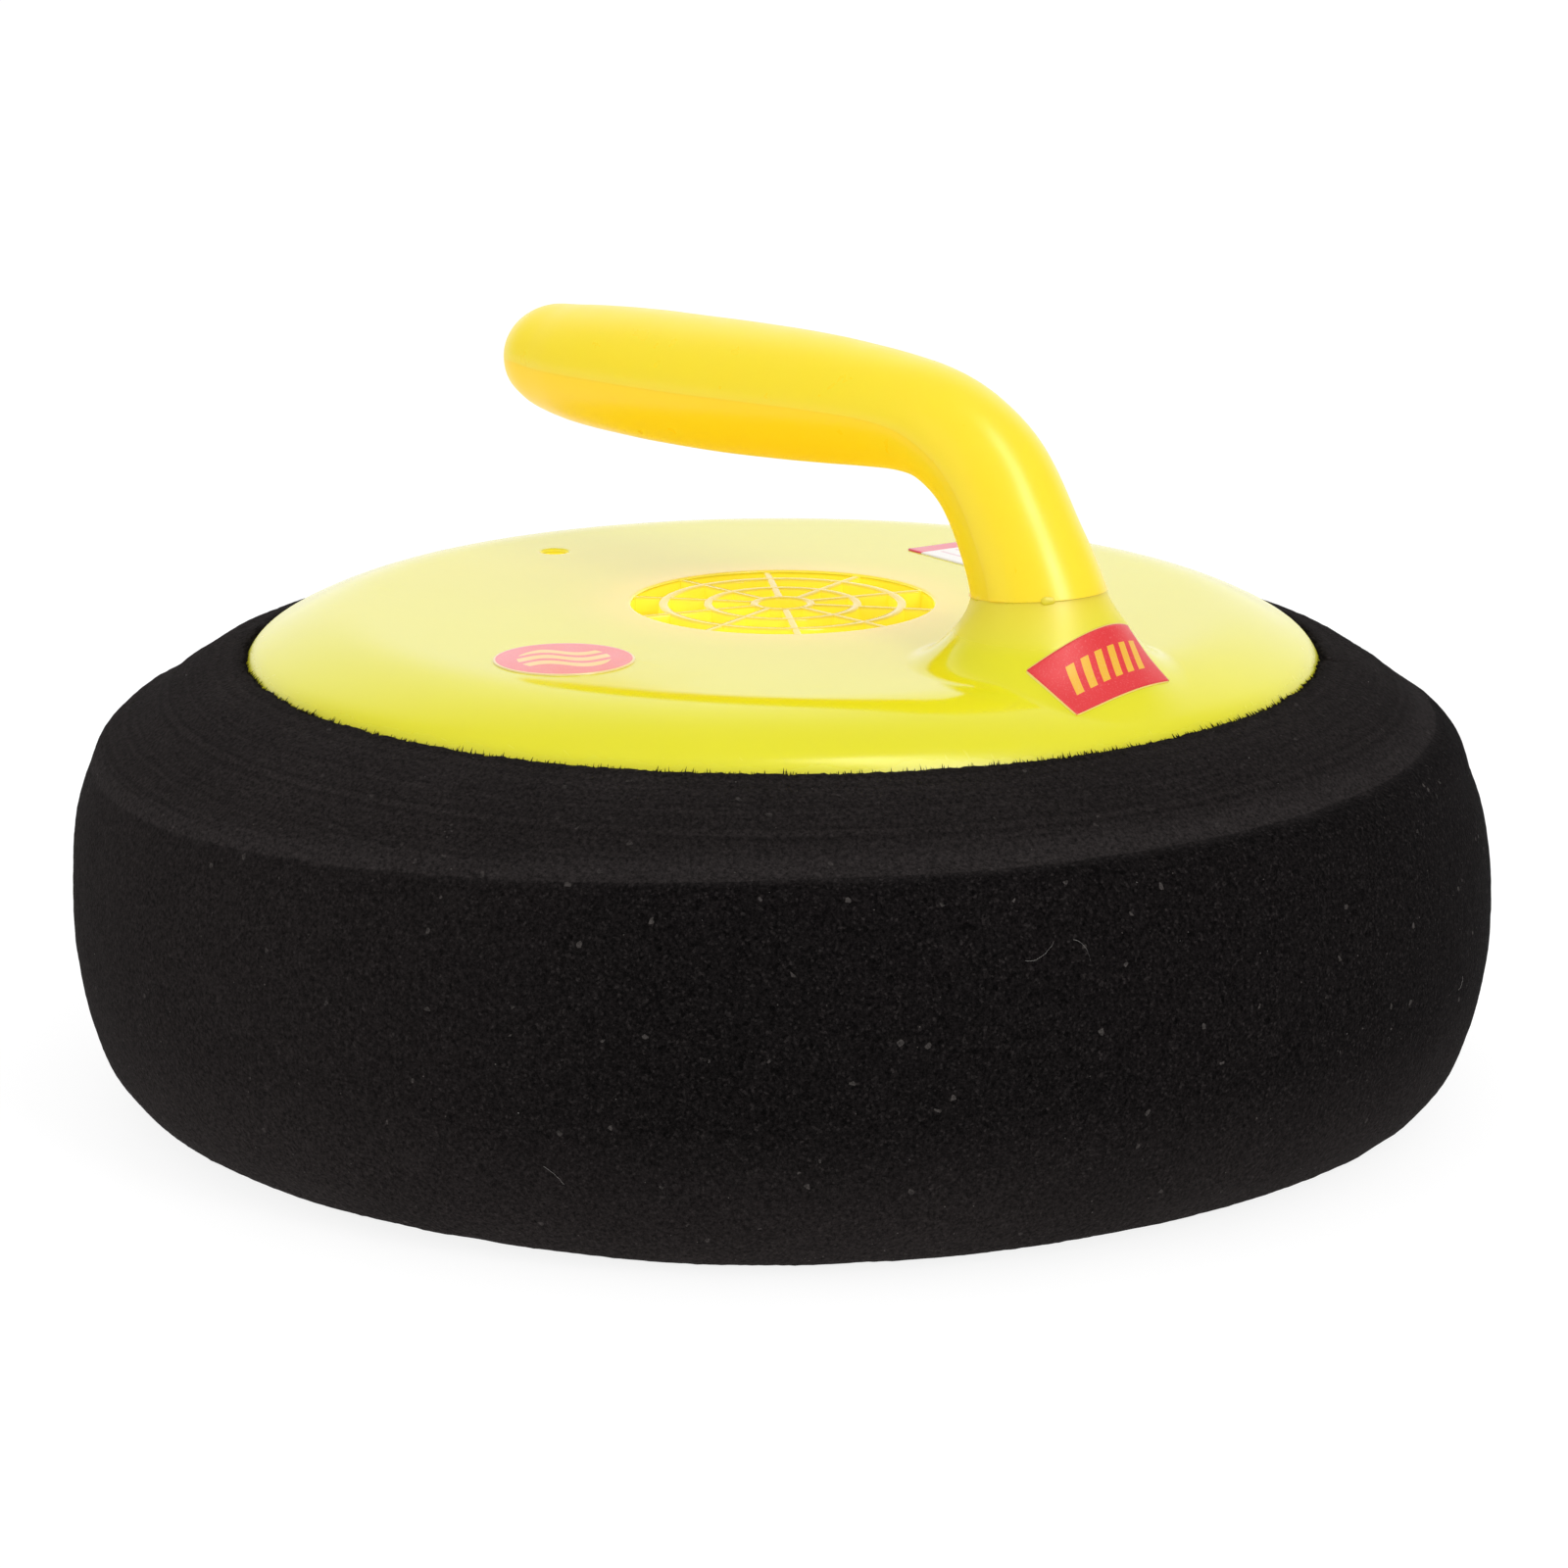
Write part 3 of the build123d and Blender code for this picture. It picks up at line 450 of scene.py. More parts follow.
# ------------------------------------------------------------------ foam material
def foam_material():
    """Open-celled black foam, dusty in places, with painted light and shade on its slopes, flank
    and crease.
    """
    grey = (0.024, 0.0205, 0.020)
    small_cells_turn = (0.4, 0.9, 0.2)
    m = Material("foam_black")
    x, y, z = m.xyz()

    # the crease climbs from one side of the ring to the other: above_crease follows its height
    across = x * VIEW_COS + y * VIEW_SIN
    left = math_node("MINIMUM", across, 0.0)
    right = math_node("MAXIMUM", across, 0.0)
    climb = 0.0041 + (left * 0.028 + right * 0.014)
    climb = climb - left * left * 0.30
    climb = climb - right * right * 0.08
    above_crease = z - climb

    # cells of two sizes; cut cell walls catch the light, a few are bright, some are open pores
    cell = m.cells(mm=0.62)
    small_cell = m.cells(mm=0.33, coords=m.map(turn=small_cells_turn))
    cell_id = m.cell_random(mm=0.62, channel=0)
    small_id = m.cell_random(mm=0.33, channel=1, coords=m.map(turn=small_cells_turn))
    grain = m.noise(mm=0.42, detail=3, rough=0.7)
    color = m.mix(
        grain.ramp(over=(0.32, 0.72)), (0.0022, 0.0018, 0.0019), (0.0100, 0.0086, 0.0086)
    )
    walls = small_id.ramp(over=(0.82, 1.0), to=(0, 0.7))
    color = m.mix(walls, color, (0.020, 0.0175, 0.0172))
    color = m.mix(cell_id > 0.9975, color, (0.042, 0.038, 0.036))
    pores = cell_id.ramp(over=(0.0, 0.16), to=(0.65, 0.0))
    color = m.mix(pores, color, (0.0008, 0.0007, 0.0007))

    # lighter on the upper slope and at the foot, in soft patches: dust, with painted light where
    # the slope faces up and where the bright floor lights the foot
    patch = m.noise(mm=26, detail=3, rough=0.6)
    upper = above_crease.ramp(over=(0.0482, 0.0570), to=(0.44, 0.66)) * (above_crease > 0.0481)
    foot = z.ramp(over=(0.022, 0.002), to=(0.0, 0.66))
    dust_and_light = ((upper + foot) * patch.ramp(over=(0.25, 0.75), to=(0.55, 1.15))).clamped()
    color = m.mix(dust_and_light, color, grey)

    # painted light: the flank on the camera's left is painted lighter grey, where it catches more
    # light
    leftward = x * -VIEW_COS + y * -VIEW_SIN
    left_flank_light = leftward.ramp(over=(0.015, 0.092), to=(0.0, 0.56))
    color = m.mix(left_flank_light * patch.ramp(over=(0.2, 0.8), to=(0.75, 1.1)), color, grey)

    # painted highlight: a lighter strip just above the crease, where the slope turns up to the
    # light, harder at its lower edge, with a faint painted shade line in the crease under it
    wavy = above_crease + (m.noise(mm=9, detail=2) - 0.5) * 0.0007
    strip = wavy.ramp(over=(0.0475, 0.0483)) * wavy.ramp(over=(0.0496, 0.0516), to=(1.0, 0.0))
    strip = strip * patch.ramp(over=(0.2, 0.8), to=(0.15, 0.5))
    color = m.mix(strip, color, (0.029, 0.0255, 0.0255))
    # painted shade: a thin darker line along the crease
    crease_shade = wavy.ramp(over=(0.0466, 0.0479)) * wavy.ramp(over=(0.0479, 0.0482), to=(1.0, 0.0))
    color = m.mix(crease_shade * 0.10, color, (0.0020, 0.0017, 0.0018))

    # faint lathe rings on the upper slope
    ring_inputs = {"W": z * 1600.0, "Scale": 1.0, "Detail": 3.0}
    ring = m.signal("ShaderNodeTexNoise", ring_inputs, "Fac", noise_dimensions="1D")
    rings = ring.ramp(over=(0.35, 0.65), to=(0.0, 0.30))
    rings = rings * above_crease.ramp(over=(0.0492, 0.0505))
    color = m.mix(rings, color, (0.0030, 0.0026, 0.0026))

    # dust grains, thicker at the foot, and more of them where the surface turns away from the
    # camera, as painted sheen along the edges
    grain_id = m.cell_random(mm=0.85, channel=0)
    grain_distance = m.cells(mm=0.85)
    facing = m.signal("ShaderNodeLayerWeight", {"Blend": 0.35}, "Facing")
    more = facing ** 3.0 * 0.26 + z.ramp(over=(0.014, 0.002), to=(0.0, 0.06))
    limit = 0.985 - (more + patch.ramp(over=(0.5, 0.8), to=(0.0, 0.02)))
    dust = (grain_id > limit) * (grain_distance < 0.115)
    color = m.mix(dust * 0.75, color, (0.085, 0.078, 0.072))
    # painted sheen: a lighter grey where the surface turns away from the camera
    color = m.mix(facing ** 4.0 * 0.03, color, (0.022, 0.020, 0.020))

    # fine speckle over everything, by its highest gain in red, green and blue
    speckle = m.noise(mm=0.55, detail=2, rough=0.8)
    gains = {
        channel: speckle.ramp(over=(0.30, 0.70), to=(0.46, high))
        for channel, high in enumerate((1.80, 1.76, 1.76))
    }
    color = m.mix(1.0, color, m.signal("ShaderNodeCombineColor", gains), "MULTIPLY")

    relief = cell * 0.7 + small_cell * 0.5 + grain * 0.6
    normal = m.bump(relief, strength=0.85, mm=0.30)
    normal = m.bump(m.noise(mm=9, detail=3), strength=0.25, mm=0.5, normal=normal)
    return m.done(
        color, 1.0, normal, Specular_IOR_Level=0.03, Sheen_Weight=0.0, Sheen_Roughness=0.6
    )


# ------------------------------------------------------------------ cover and handle materials
FINE_SCUFFS = {"scale": (0.1, 1.4, 0.4), "turn": (0.1, 0.3, 0.7), "full": 0.75}


def cover_material():
    """Glossy lemon plastic with a painted glow, warmer round the grille and inside its openings."""
    m = Material("lemon_cover")
    x, y, z = m.xyz()
    radius = length(x, y)
    color = m.mix(m.noise(mm=30, detail=2), (0.79, 0.745, 0.012), (0.84, 0.785, 0.016))
    # painted light: a warmer colour and a little emission round the grille
    glow = radius.ramp(over=(0.0215, 0.034), to=(1.0, 0.0))
    glow = glow * glow
    color = m.mix(glow * 0.65, color, (0.98, 0.72, 0.10))

    # painted light inside the grille, round its lip and down the lamp's hole: a paler warm colour
    # and emission where the openings would lie in shade
    grille = radius.ramp(over=(0.0210, 0.0212), to=(1.0, 0.0))
    grille = (grille * z.ramp(over=(0.06782, 0.06752))).clamped()
    lip = radius.ramp(over=(0.0210, 0.0212)) * radius.ramp(over=(0.02155, 0.0219), to=(1.0, 0.0))
    lip = (lip * z.ramp(over=(0.06806, 0.06788))).clamped()
    inside = math_node("MAXIMUM", grille, lip)
    from_lamp = length(x - LED_X * MM, y - LED_Y * MM)
    hole = ((from_lamp < 0.00215) * z.ramp(over=(0.06795, 0.0677))).clamped()
    inside = math_node("MAXIMUM", inside, hole)
    color = m.mix(inside, color, (0.97, 0.86, 0.085))

    # warmer towards the pedestal's top
    near_joint = z.ramp(over=(0.0710, 0.0776), to=(0.0, 0.6))
    color = m.mix(near_joint, color, (0.90, 0.68, 0.030))
    specks = (m.cell_random(mm=2.6, channel=2) > 0.992) * (m.cells(mm=2.6) < 0.05)
    color = m.mix(specks * 0.7, color, (0.25, 0.22, 0.04))

    # duller down the shoulder and up the pedestal
    rough = m.noise(mm=6, detail=4).ramp(over=(0.3, 0.7), to=(0.10, 0.15))
    rough = rough + m.scuffs(**FINE_SCUFFS, rougher=0.07)
    rough = rough + z.ramp(over=(0.0655, 0.0610), to=(0.0, 0.20))
    rough = rough + z.ramp(over=(0.0712, 0.0735), to=(0.0, 0.30))
    normal = m.bump(m.noise(mm=3.0, detail=2), strength=0.05, mm=0.05)
    # the emission is painted glow, inside the openings and round the grille
    return m.done(
        color, rough, normal, Specular_IOR_Level=0.62,
        Emission_Color=(1.0, 0.82, 0.045), Emission_Strength=inside * 0.21 + glow * 0.05,
        Subsurface_Weight=0.18, Subsurface_Radius=(1.0, 0.85, 0.12), Subsurface_Scale=0.004,
    )


def handle_material(name, rgb, deeper, glow, specular):
    """Golden plastic, yellower at the neck; `glow` is the painted glow, an emission away from the
    neck.
    """
    neck_glow = 0.07
    m = Material(name)
    x = m.xyz()[0]
    cloud = m.noise(mm=26, detail=2, coords=m.map(scale=(0.5, 1, 1)))
    color = m.mix(cloud, tuple(c * 0.96 for c in rgb), rgb)
    color = m.mix(m.noise(mm=60, detail=1) * 0.35, color, deeper)
    rough = m.noise(mm=5, detail=4).ramp(over=(0.3, 0.7), to=(0.27, 0.34))
    rough = rough + m.scuffs(**FINE_SCUFFS, rougher=0.02)
    normal = m.bump(m.noise(mm=2.4, detail=2), strength=0.03, mm=0.05)
    normal = m.bump(m.noise(mm=0.5, detail=2), strength=0.05, mm=0.03, normal=normal)
    neck = x.ramp(over=(0.026, 0.046))
    color = m.mix(neck * 0.85, color, (1.0, 0.735, 0.018))
    # painted glow: emission that lifts the plastic, `glow` away from the neck and neck_glow at it
    return m.done(
        color, rough, normal, Specular_IOR_Level=specular,
        Emission_Color=(1.0, 0.62, 0.010),
        Emission_Strength=neck.ramp(over=(0.0, 1.0), to=(glow, neck_glow)),
        Subsurface_Weight=0.22, Subsurface_Radius=(1.0, 0.7, 0.08), Subsurface_Scale=0.004,
    )


# ------------------------------------------------------------------ label materials
# A print takes the material and (u, v), in mm from the label's centre, and gives a colour.
def side_print(m, u, v):
    """Red, with a row of slanted bars and a pale border."""
    base = m.mix(m.noise(mm=6, detail=3), (0.74, 0.030, 0.036), (0.80, 0.038, 0.045))
    slanted = u + v * -0.35
    bars = math_node("PINGPONG", slanted + 20.0, 1.2) < 0.66
    band = (abs(v) < 2.15) * (abs(slanted) < 7.1)
    color = m.mix(bars * band, base, (0.88, 0.47, 0.035))
    border = math_node("MAXIMUM", abs(u) > 9.44, abs(v) > 4.76)
    return m.mix(border, color, (0.92, 0.72, 0.18))


def round_print(m, u, v):
    """Pink, with a disc of wavy stripes and a pale rim."""
    base = m.mix(m.noise(mm=6, detail=3), (0.86, 0.13, 0.17), (0.92, 0.17, 0.21))
    radius = length(u, v)
    wavy = v + math_node("SINE", u * 0.62) * 1.15
    stripes = math_node("PINGPONG", wavy + 20.0, 1.7) < 1.02
    stripes = stripes * (radius < 6.3) * (abs(wavy) < 4.6)
    color = m.mix(stripes, base, (0.93, 0.62, 0.22))
    return m.mix(radius > 9.2, color, (0.93, 0.75, 0.35))


def rear_print(m, u, v):
    """White, with a red end and rows of thin lines."""
    base = m.mix(m.noise(mm=6, detail=3), (0.86, 0.85, 0.83), (0.93, 0.92, 0.91))
    color = m.mix(u < -4.4, base, (0.80, 0.06, 0.13))
    lines = math_node("PINGPONG", v + 30.0, 1.3) < 0.30
    area = (u > -3.4) * (abs(v) < 5.6) * (u < 6.6)
    return m.mix(lines * (area * 0.6), color, (0.72, 0.30, 0.42))


def label_material(name, print_color, plane, dullness=0.0):
    """Printed film on a plane of (origin, u axis, v axis)."""
    origin, *axes = plane
    m = Material(name)
    offset = {0: m.coords, 1: tuple(c * MM for c in origin)}
    offset = m.signal("ShaderNodeVectorMath", offset, operation="SUBTRACT")
    u, v = (
        m.signal(
            "ShaderNodeVectorMath", {0: offset, 1: tuple(axis * 1000)}, "Value",
            operation="DOT_PRODUCT",
        )
        for axis in axes
    )
    thin_ink = m.noise(mm=0.25, detail=2).ramp(over=(0.55, 0.8), to=(0, 0.12))
    color = m.mix(thin_ink, print_color(m, u, v), (1, 0.9, 0.85))
    normal = m.bump(m.noise(mm=2.2, detail=3), strength=0.12, mm=0.08)
    rough = (0.13 + dullness, 0.22 + dullness)
    rough = m.noise(mm=3, detail=3).ramp(over=(0.3, 0.7), to=rough)
    return m.done(color, rough, normal, Specular_IOR_Level=0.55 - dullness)


# ------------------------------------------------------------------ paint the CAD pieces
def paint(material, *nodes):
    for node in nodes:
        slots = NODES[node].data.materials
        if not slots:
            slots.append(material)
        for i in range(len(slots)):
            slots[i] = material


def paint_cad_pieces():
    # painted glow: the fan deck and impeller carry a faint emission so the grille's interior reads
    # lit
    lit = {"Emission_Color": (1.0, 0.76, 0.03), "Emission_Strength": 0.10}
    paint(moulded("lemon_base", (0.74, 0.74, 0.03), rough=0.28), "base_shell", "battery_door")
    paint(moulded("gold_plug", (0.85, 0.55, 0.015), rough=0.4), "handle_plug")
    paint(moulded("deck_yellow", (0.90, 0.80, 0.08), rough=0.42, **lit), "fan_deck")
    paint(moulded("fan_yellow", (0.97, 0.84, 0.05), rough=0.36, **lit), "impeller")
    paint(moulded("nylon_white", (0.80, 0.79, 0.74), rough=0.45), "motor_end_cap")
    black = moulded("black_moulded", (0.016, 0.016, 0.018), rough=0.5, grain=0.3)
    paint(black, "switch_lever", "switch_slider")
    paint(moulded("phenolic", (0.20, 0.10, 0.035), rough=0.55), "switch_base")
    paint(moulded("wire_red_skin", (0.45, 0.015, 0.015), rough=0.45), "wire_red")
    paint(moulded("wire_black_skin", (0.012, 0.012, 0.012), rough=0.45), "wire_black")
    paint(moulded("wire_blue_skin", (0.02, 0.06, 0.35), rough=0.45), "led_wires")
    paint(
        metal("zinc_plate", (0.62, 0.63, 0.66), rough=0.32),
        "motor_bracket", "motor_bracket_screws", "deck_screws", "housing_screws",
        "battery_door_screws", "handle_screw", "switch_frame", "switch_screws",
    )
    can = metal("motor_plate", (0.58, 0.58, 0.60), rough=0.3, streak_scale=(1, 1, 0.08))
    paint(can, "motor_can")
    nickel = metal("nickel_plate", (0.72, 0.70, 0.67), rough=0.22)
    paint(nickel, "contact_plates", "contact_springs")
    brass = metal("brass_tab", (0.78, 0.62, 0.32), rough=0.3)
    paint(brass, "motor_terminals", "switch_terminals")
    paint(metal("sinter_bronze", (0.5, 0.34, 0.18), rough=0.5), "motor_bushes")
    shaft = metal("ground_steel", (0.7, 0.7, 0.72), rough=0.18, streak_scale=(1, 1, 6))
    paint(shaft, "motor_shaft")
    paint(ferrite_material(), "motor_magnets")
    paint(rotor_material(), "motor_rotor")
    paint(cell_material(), "battery_cells")
    paint(lamp_material(), "indicator_led")


paint_cad_pieces()


# ------------------------------------------------------------------ the cover's outer surface
def crown_z(radius):
    """The nearly flat crown."""
    return CROWN_Z - CROWN_DROP * (np.asarray(radius, float) / CROWN_R) ** 2


def shoulder_curve(samples=600):
    """Radii and heights of the shoulder: the crown's slope at one end, vertical at the other."""
    lengths = chord_lengths(SHOULDER)
    radii, heights = np.array(SHOULDER).T
    along = np.linspace(0, lengths[-1], samples)
    curve_r = cubic(lengths, radii, (1.0, 0.0))(along)
    curve_z = cubic(lengths, heights, (-2 * CROWN_DROP / CROWN_R, -1.0))(along)
    # the tiny steps keep the radii strictly rising for interpolation
    return np.maximum.accumulate(curve_r) + np.arange(samples) * 1e-9, curve_z


SHOULDER_R, SHOULDER_Z = shoulder_curve()


def dome_z(radius):
    radius = np.asarray(radius, float)
    shoulder = np.interp(radius, SHOULDER_R, SHOULDER_Z)
    return np.where(radius < CROWN_R, crown_z(radius), shoulder)


PEDESTAL_LENGTHS = chord_lengths([(radius, z) for _, z, radius, _ in PEDESTAL])
PEDESTAL_END = PEDESTAL_LENGTHS[-1]
PEDESTAL_SPLINES = [cubic(PEDESTAL_LENGTHS, column) for column in zip(*PEDESTAL)]


def pedestal_point(down, around):
    """The pedestal's own surface: `down` is the length from the joint, `around` an angle."""
    x, z, radius, lean = (spline(down) for spline in PEDESTAL_SPLINES)
    lean = np.radians(np.clip(lean, 0, 5))
    out_x, out_y = radius * np.cos(around), radius * np.sin(around)
    return np.stack([x + out_x * np.cos(lean), out_y, z + out_x * np.sin(lean)], -1)


def blended_max(first, second):
    """The higher of two surfaces, with a fillet where they meet."""
    near = np.maximum(PEDESTAL_BLEND - np.abs(first - second), 0) / PEDESTAL_BLEND
    return np.maximum(first, second) + near * near * PEDESTAL_BLEND / 4


def pedestal_rows():
    """Rows of blended pedestal points, from the joint's rim to the foot."""
    unblended_length = 3
    around = np.linspace(0, 2 * np.pi, PEDESTAL_SEGMENTS, endpoint=False)
    rows = []
    for down in np.concatenate([np.linspace(0, 6, 22), np.linspace(6.3, PEDESTAL_END, 44)]):
        row = pedestal_point(down, around)
        if down >= unblended_length:
            dome = dome_z(np.minimum(np.hypot(row[:, 0], row[:, 1]), 75.9))
            row[:, 2] = blended_max(row[:, 2], dome)
        rows.append(row)
    return rows


def surface_z(x, y):
    """Height of the finished outer skin over a plan point."""
    dome = float(dome_z(min(math.hypot(x, y), 75.99)))
    from_axis = math.hypot(x - PEDESTAL_X, y)
    if from_axis > PEDESTAL_FOOT_R:
        return dome
    samples = 240
    around = np.full(samples, math.atan2(y, x - PEDESTAL_X))
    line = pedestal_point(np.linspace(0, PEDESTAL_END, samples), around)
    radii = np.hypot(line[:, 0] - PEDESTAL_X, line[:, 1])
    i = np.clip(np.searchsorted(radii, from_axis), 1, samples - 1)
    t = (from_axis - radii[i - 1]) / max(radii[i] - radii[i - 1], 1e-9)
    pedestal = line[i - 1, 2] + t * (line[i, 2] - line[i - 1, 2])
    return float(blended_max(np.array(pedestal), np.array(dome)))


# ------------------------------------------------------------------ cover
COVER_SEGMENTS = 432
LAMP_SEGMENTS = 40
LAMP_HOLE_R = 1.98
# rounded edges of the grille's and the lamp's openings: radius, drop below the dome
GRILLE_LIP = [
    (GRILLE_R, -0.30), (GRILLE_R + 0.04, -0.16), (GRILLE_R + 0.14, -0.06),
    (GRILLE_R + 0.3, -0.01), (GRILLE_R + 0.6, 0),
]
LAMP_LIP = [(LAMP_HOLE_R, -0.5), (2.02, -0.2), (2.12, -0.06), (2.35, 0.0), (2.7, 0.0)]
# down the skirt's outside, round its foot, up its inside and in to the duct: radius, z
SKIRT_AND_INSIDE = [(COVER_R, z) for z in (56.6, 54, 50, 46, 42, 38, 35, 33.3)] + [
    (75.8, 33.2), (74.0, 33.2), (73.8, 33.4), (73.8, 45), (73.8, 56.1), (73.0, 58.8),
    (71.4, 60.7), (68.9, 62.8), (67.2, 63.8), (64.4, 64.9), (62.2, 65.4), (60, 65.6),
    (56, 65.74), (40, 65.85), (26, 65.88), (24.8, 65.88), (24.8, 62.3), (23.2, 62.3),
    (23.2, 63.9), (21.32, 63.92),
]
GRILLE_WALL = [(GRILLE_R, z) for z in (67.4, 66.6, 65.8, 64.8, 63.94)]
LAMP_WALL = [(1.97, 67.3), (1.97, 67.0), (1.97, 66.85), (1.60, 66.8), (1.60, 65.0)]
# the joint's land and socket: scale about the joint's axis, rise from the rim
JOINT_SOCKET = [
    (0.992, 0.03), (0.8, 0.03), (0.72, 0.04), (0.72, -4), (0.72, -10), (0.1, -10),
]


def skin_points():
    """Plan points of the outer skin, their heights, and the rings along its open edges."""
    points, heights = [], []

    def put(ring):
        start = len(points)
        for x, y, z in ring:
            points.append(Vector((float(x), float(y))))
            heights.append(float(z))
        return list(range(start, len(points)))

    dome_radii = np.concatenate([
        np.arange(22.6, CROWN_R, 1.2), np.arange(CROWN_R, 66, 0.9), np.arange(66, 72, 0.6),
        np.arange(72, 75, 0.35), np.arange(75, 75.9, 0.15), [75.97, COVER_R],
    ])
    dome_rings = []
    sections = GRILLE_LIP + [(radius, 0) for radius in dome_radii]
    for k, (radius, drop) in enumerate(sections):
        z = dome_z(radius) + drop
        at_edge = k in (0, len(sections) - 1)
        ring = []
        for angle in np.linspace(0, 2 * np.pi, COVER_SEGMENTS, endpoint=False):
            x, y = radius * math.cos(angle), radius * math.sin(angle)
            if math.hypot(x - PEDESTAL_X, y) < PEDESTAL_FOOT_R + 0.35 and not at_edge:
                continue
            if math.hypot(x - LED_X, y - LED_Y) < 3.0:
                continue
            ring.append((x, y, z))
        dome_rings.append(put(ring))
    joint_ring = [put(row) for row in pedestal_rows()][0]
    lamp_rings = []
    for radius, drop in LAMP_LIP:
        ring = []
        for angle in np.linspace(0, 2 * np.pi, LAMP_SEGMENTS, endpoint=False):
            x, y = LED_X + radius * math.cos(angle), LED_Y + radius * math.sin(angle)
            ring.append((x, y, float(dome_z(math.hypot(x, y))) + drop))
        lamp_rings.append(put(ring))
    return points, heights, (dome_rings[0], joint_ring, lamp_rings[0], dome_rings[-1])


def in_opening(x, y):
    return (
        math.hypot(x, y) < GRILLE_R - 0.01
        or math.hypot(x - LED_X, y - LED_Y) < 1.96
        or math.hypot(x - JOINT_X, y) < 8.6
    )


def cover_skin():
    """The triangulated outer skin, and the vertices of its grille, joint, lamp and skirt edges."""
    points, heights, rings = skin_points()
    edges = [(a, b) for ring in rings for a, b in zip(ring, ring[1:] + ring[:1])]
    plan, _, triangles, sources, _, _ = geometry.delaunay_2d_cdt(
        points, edges, [], 0, 1e-7, True
    )
    verts = [
        [p.x, p.y, heights[source[0]] if source else surface_z(p.x, p.y)]
        for p, source in zip(plan, sources)
    ]
    faces = []
    for triangle in triangles:
        x = sum(plan[i].x for i in triangle) / len(triangle)
        y = sum(plan[i].y for i in triangle) / len(triangle)
        if not in_opening(x, y):
            faces.append(tuple(triangle))
    placed = {source[0]: i for i, source in enumerate(sources) if source}
    return verts, faces, [[placed[i] for i in ring] for ring in rings]


def add_wall(verts, faces, ring, sections, place, reverse):
    """Carries an open edge on through sections; place(x, y, z, *section) gives each point."""
    previous = ring
    count = len(ring)
    for section in sections:
        current = list(range(len(verts), len(verts) + count))
        verts += [list(place(*verts[i], *section)) for i in ring]
        for k in range(count):
            j = (k + 1) % count
            quad = (previous[k], previous[j], current[j], current[k])
            faces.append(quad[::-1] if reverse else quad)
        previous = current


def circle_about(center_x=0.0, center_y=0.0):
    """Placement of edge points on a circle of a section's radius and height."""

    def place(x, y, _, radius, z):
        distance = math.hypot(x - center_x, y - center_y)
        return (
            center_x + (x - center_x) / distance * radius,
            center_y + (y - center_y) / distance * radius,
            z,
        )

    return place


def joint_inset(x, y, z, scale, rise):
    from_axis = x - JOINT_X
    return (
        JOINT_X + from_axis * scale,
        y * scale,
        z + rise + (scale - 1) * from_axis * JOINT_SLOPE,
    )


def rib_profile(half, top, bottom, rounding):
    """Section of a grille rib: offset from its middle, z."""
    middle = (top + bottom) / 2
    top_half = half * 0.92
    profile = [(-half, bottom), (-half * 0.96, middle), (-top_half, top - rounding)]
    for t in np.linspace(0, math.pi, 7)[1:-1]:
        side = -1 if t < math.pi / 2 else 1
        offset = side * (top_half - rounding) - rounding * math.cos(t)
        profile.append((offset, top - rounding + rounding * math.sin(t)))
    return profile + [(top_half, top - rounding), (half * 0.96, middle), (half, bottom)]


def add_grille(verts, faces):
    """Three rings and ten spokes with rounded tops."""
    bottom = CROWN_Z - GRILLE_DEPTH
    ring_segments = 240
    for inner, outer in ((3.3, 4.65), (9.75, 11.15), (15.95, 17.45)):
        middle = (inner + outer) / 2
        top = float(dome_z(middle)) - 0.2
        profile = rib_profile((outer - inner) / 2, top, bottom, rounding=0.32)
        base = len(verts)
        for i in range(ring_segments):
            angle = TURN * i / ring_segments
            for offset, z in profile:
                radius = middle + offset
                verts.append([radius * math.cos(angle), radius * math.sin(angle), z])
        faces += grid_faces(ring_segments, len(profile), base, True, True, COLS_FIRST)
    spokes = 10
    stations = np.linspace(3.9, 21.7, 24)
    for i in range(spokes):
        cos, sin = math.cos(TURN * i / spokes), math.sin(TURN * i / spokes)
        base = len(verts)
        for radius in stations:
            top = float(dome_z(radius)) - 0.22
            # the spoke widens where it meets the cover
            half = 0.60 + 0.12 * max(0, (radius - 20.6) / 1.3) ** 2
            profile = rib_profile(half, top, bottom + 0.4, rounding=0.28)
            for offset, z in profile:
                verts.append([radius * cos - offset * sin, radius * sin + offset * cos, z])
        sides = len(profile)
        faces += grid_faces(len(stations), sides, base, wrap_cols=True)
        last = base + (len(stations) - 1) * sides
        faces.append(tuple(range(base, base + sides)))
        faces.append(tuple(range(last, last + sides))[::-1])


def add_column(verts, faces, x, y, radius, bottom, top, bore):
    """A hollow round column, open at its top."""
    segments = 32
    base = len(verts)
    rings = [(bore, top), (bore, bottom), (radius, bottom), (radius, top)]
    for ring_r, z in rings:
        for k in range(segments):
            angle = TURN * k / segments
            verts.append([x + ring_r * math.cos(angle), y + ring_r * math.sin(angle), z])
    faces += grid_faces(len(rings), segments, base, wrap_cols=True, order=COLS_FIRST)


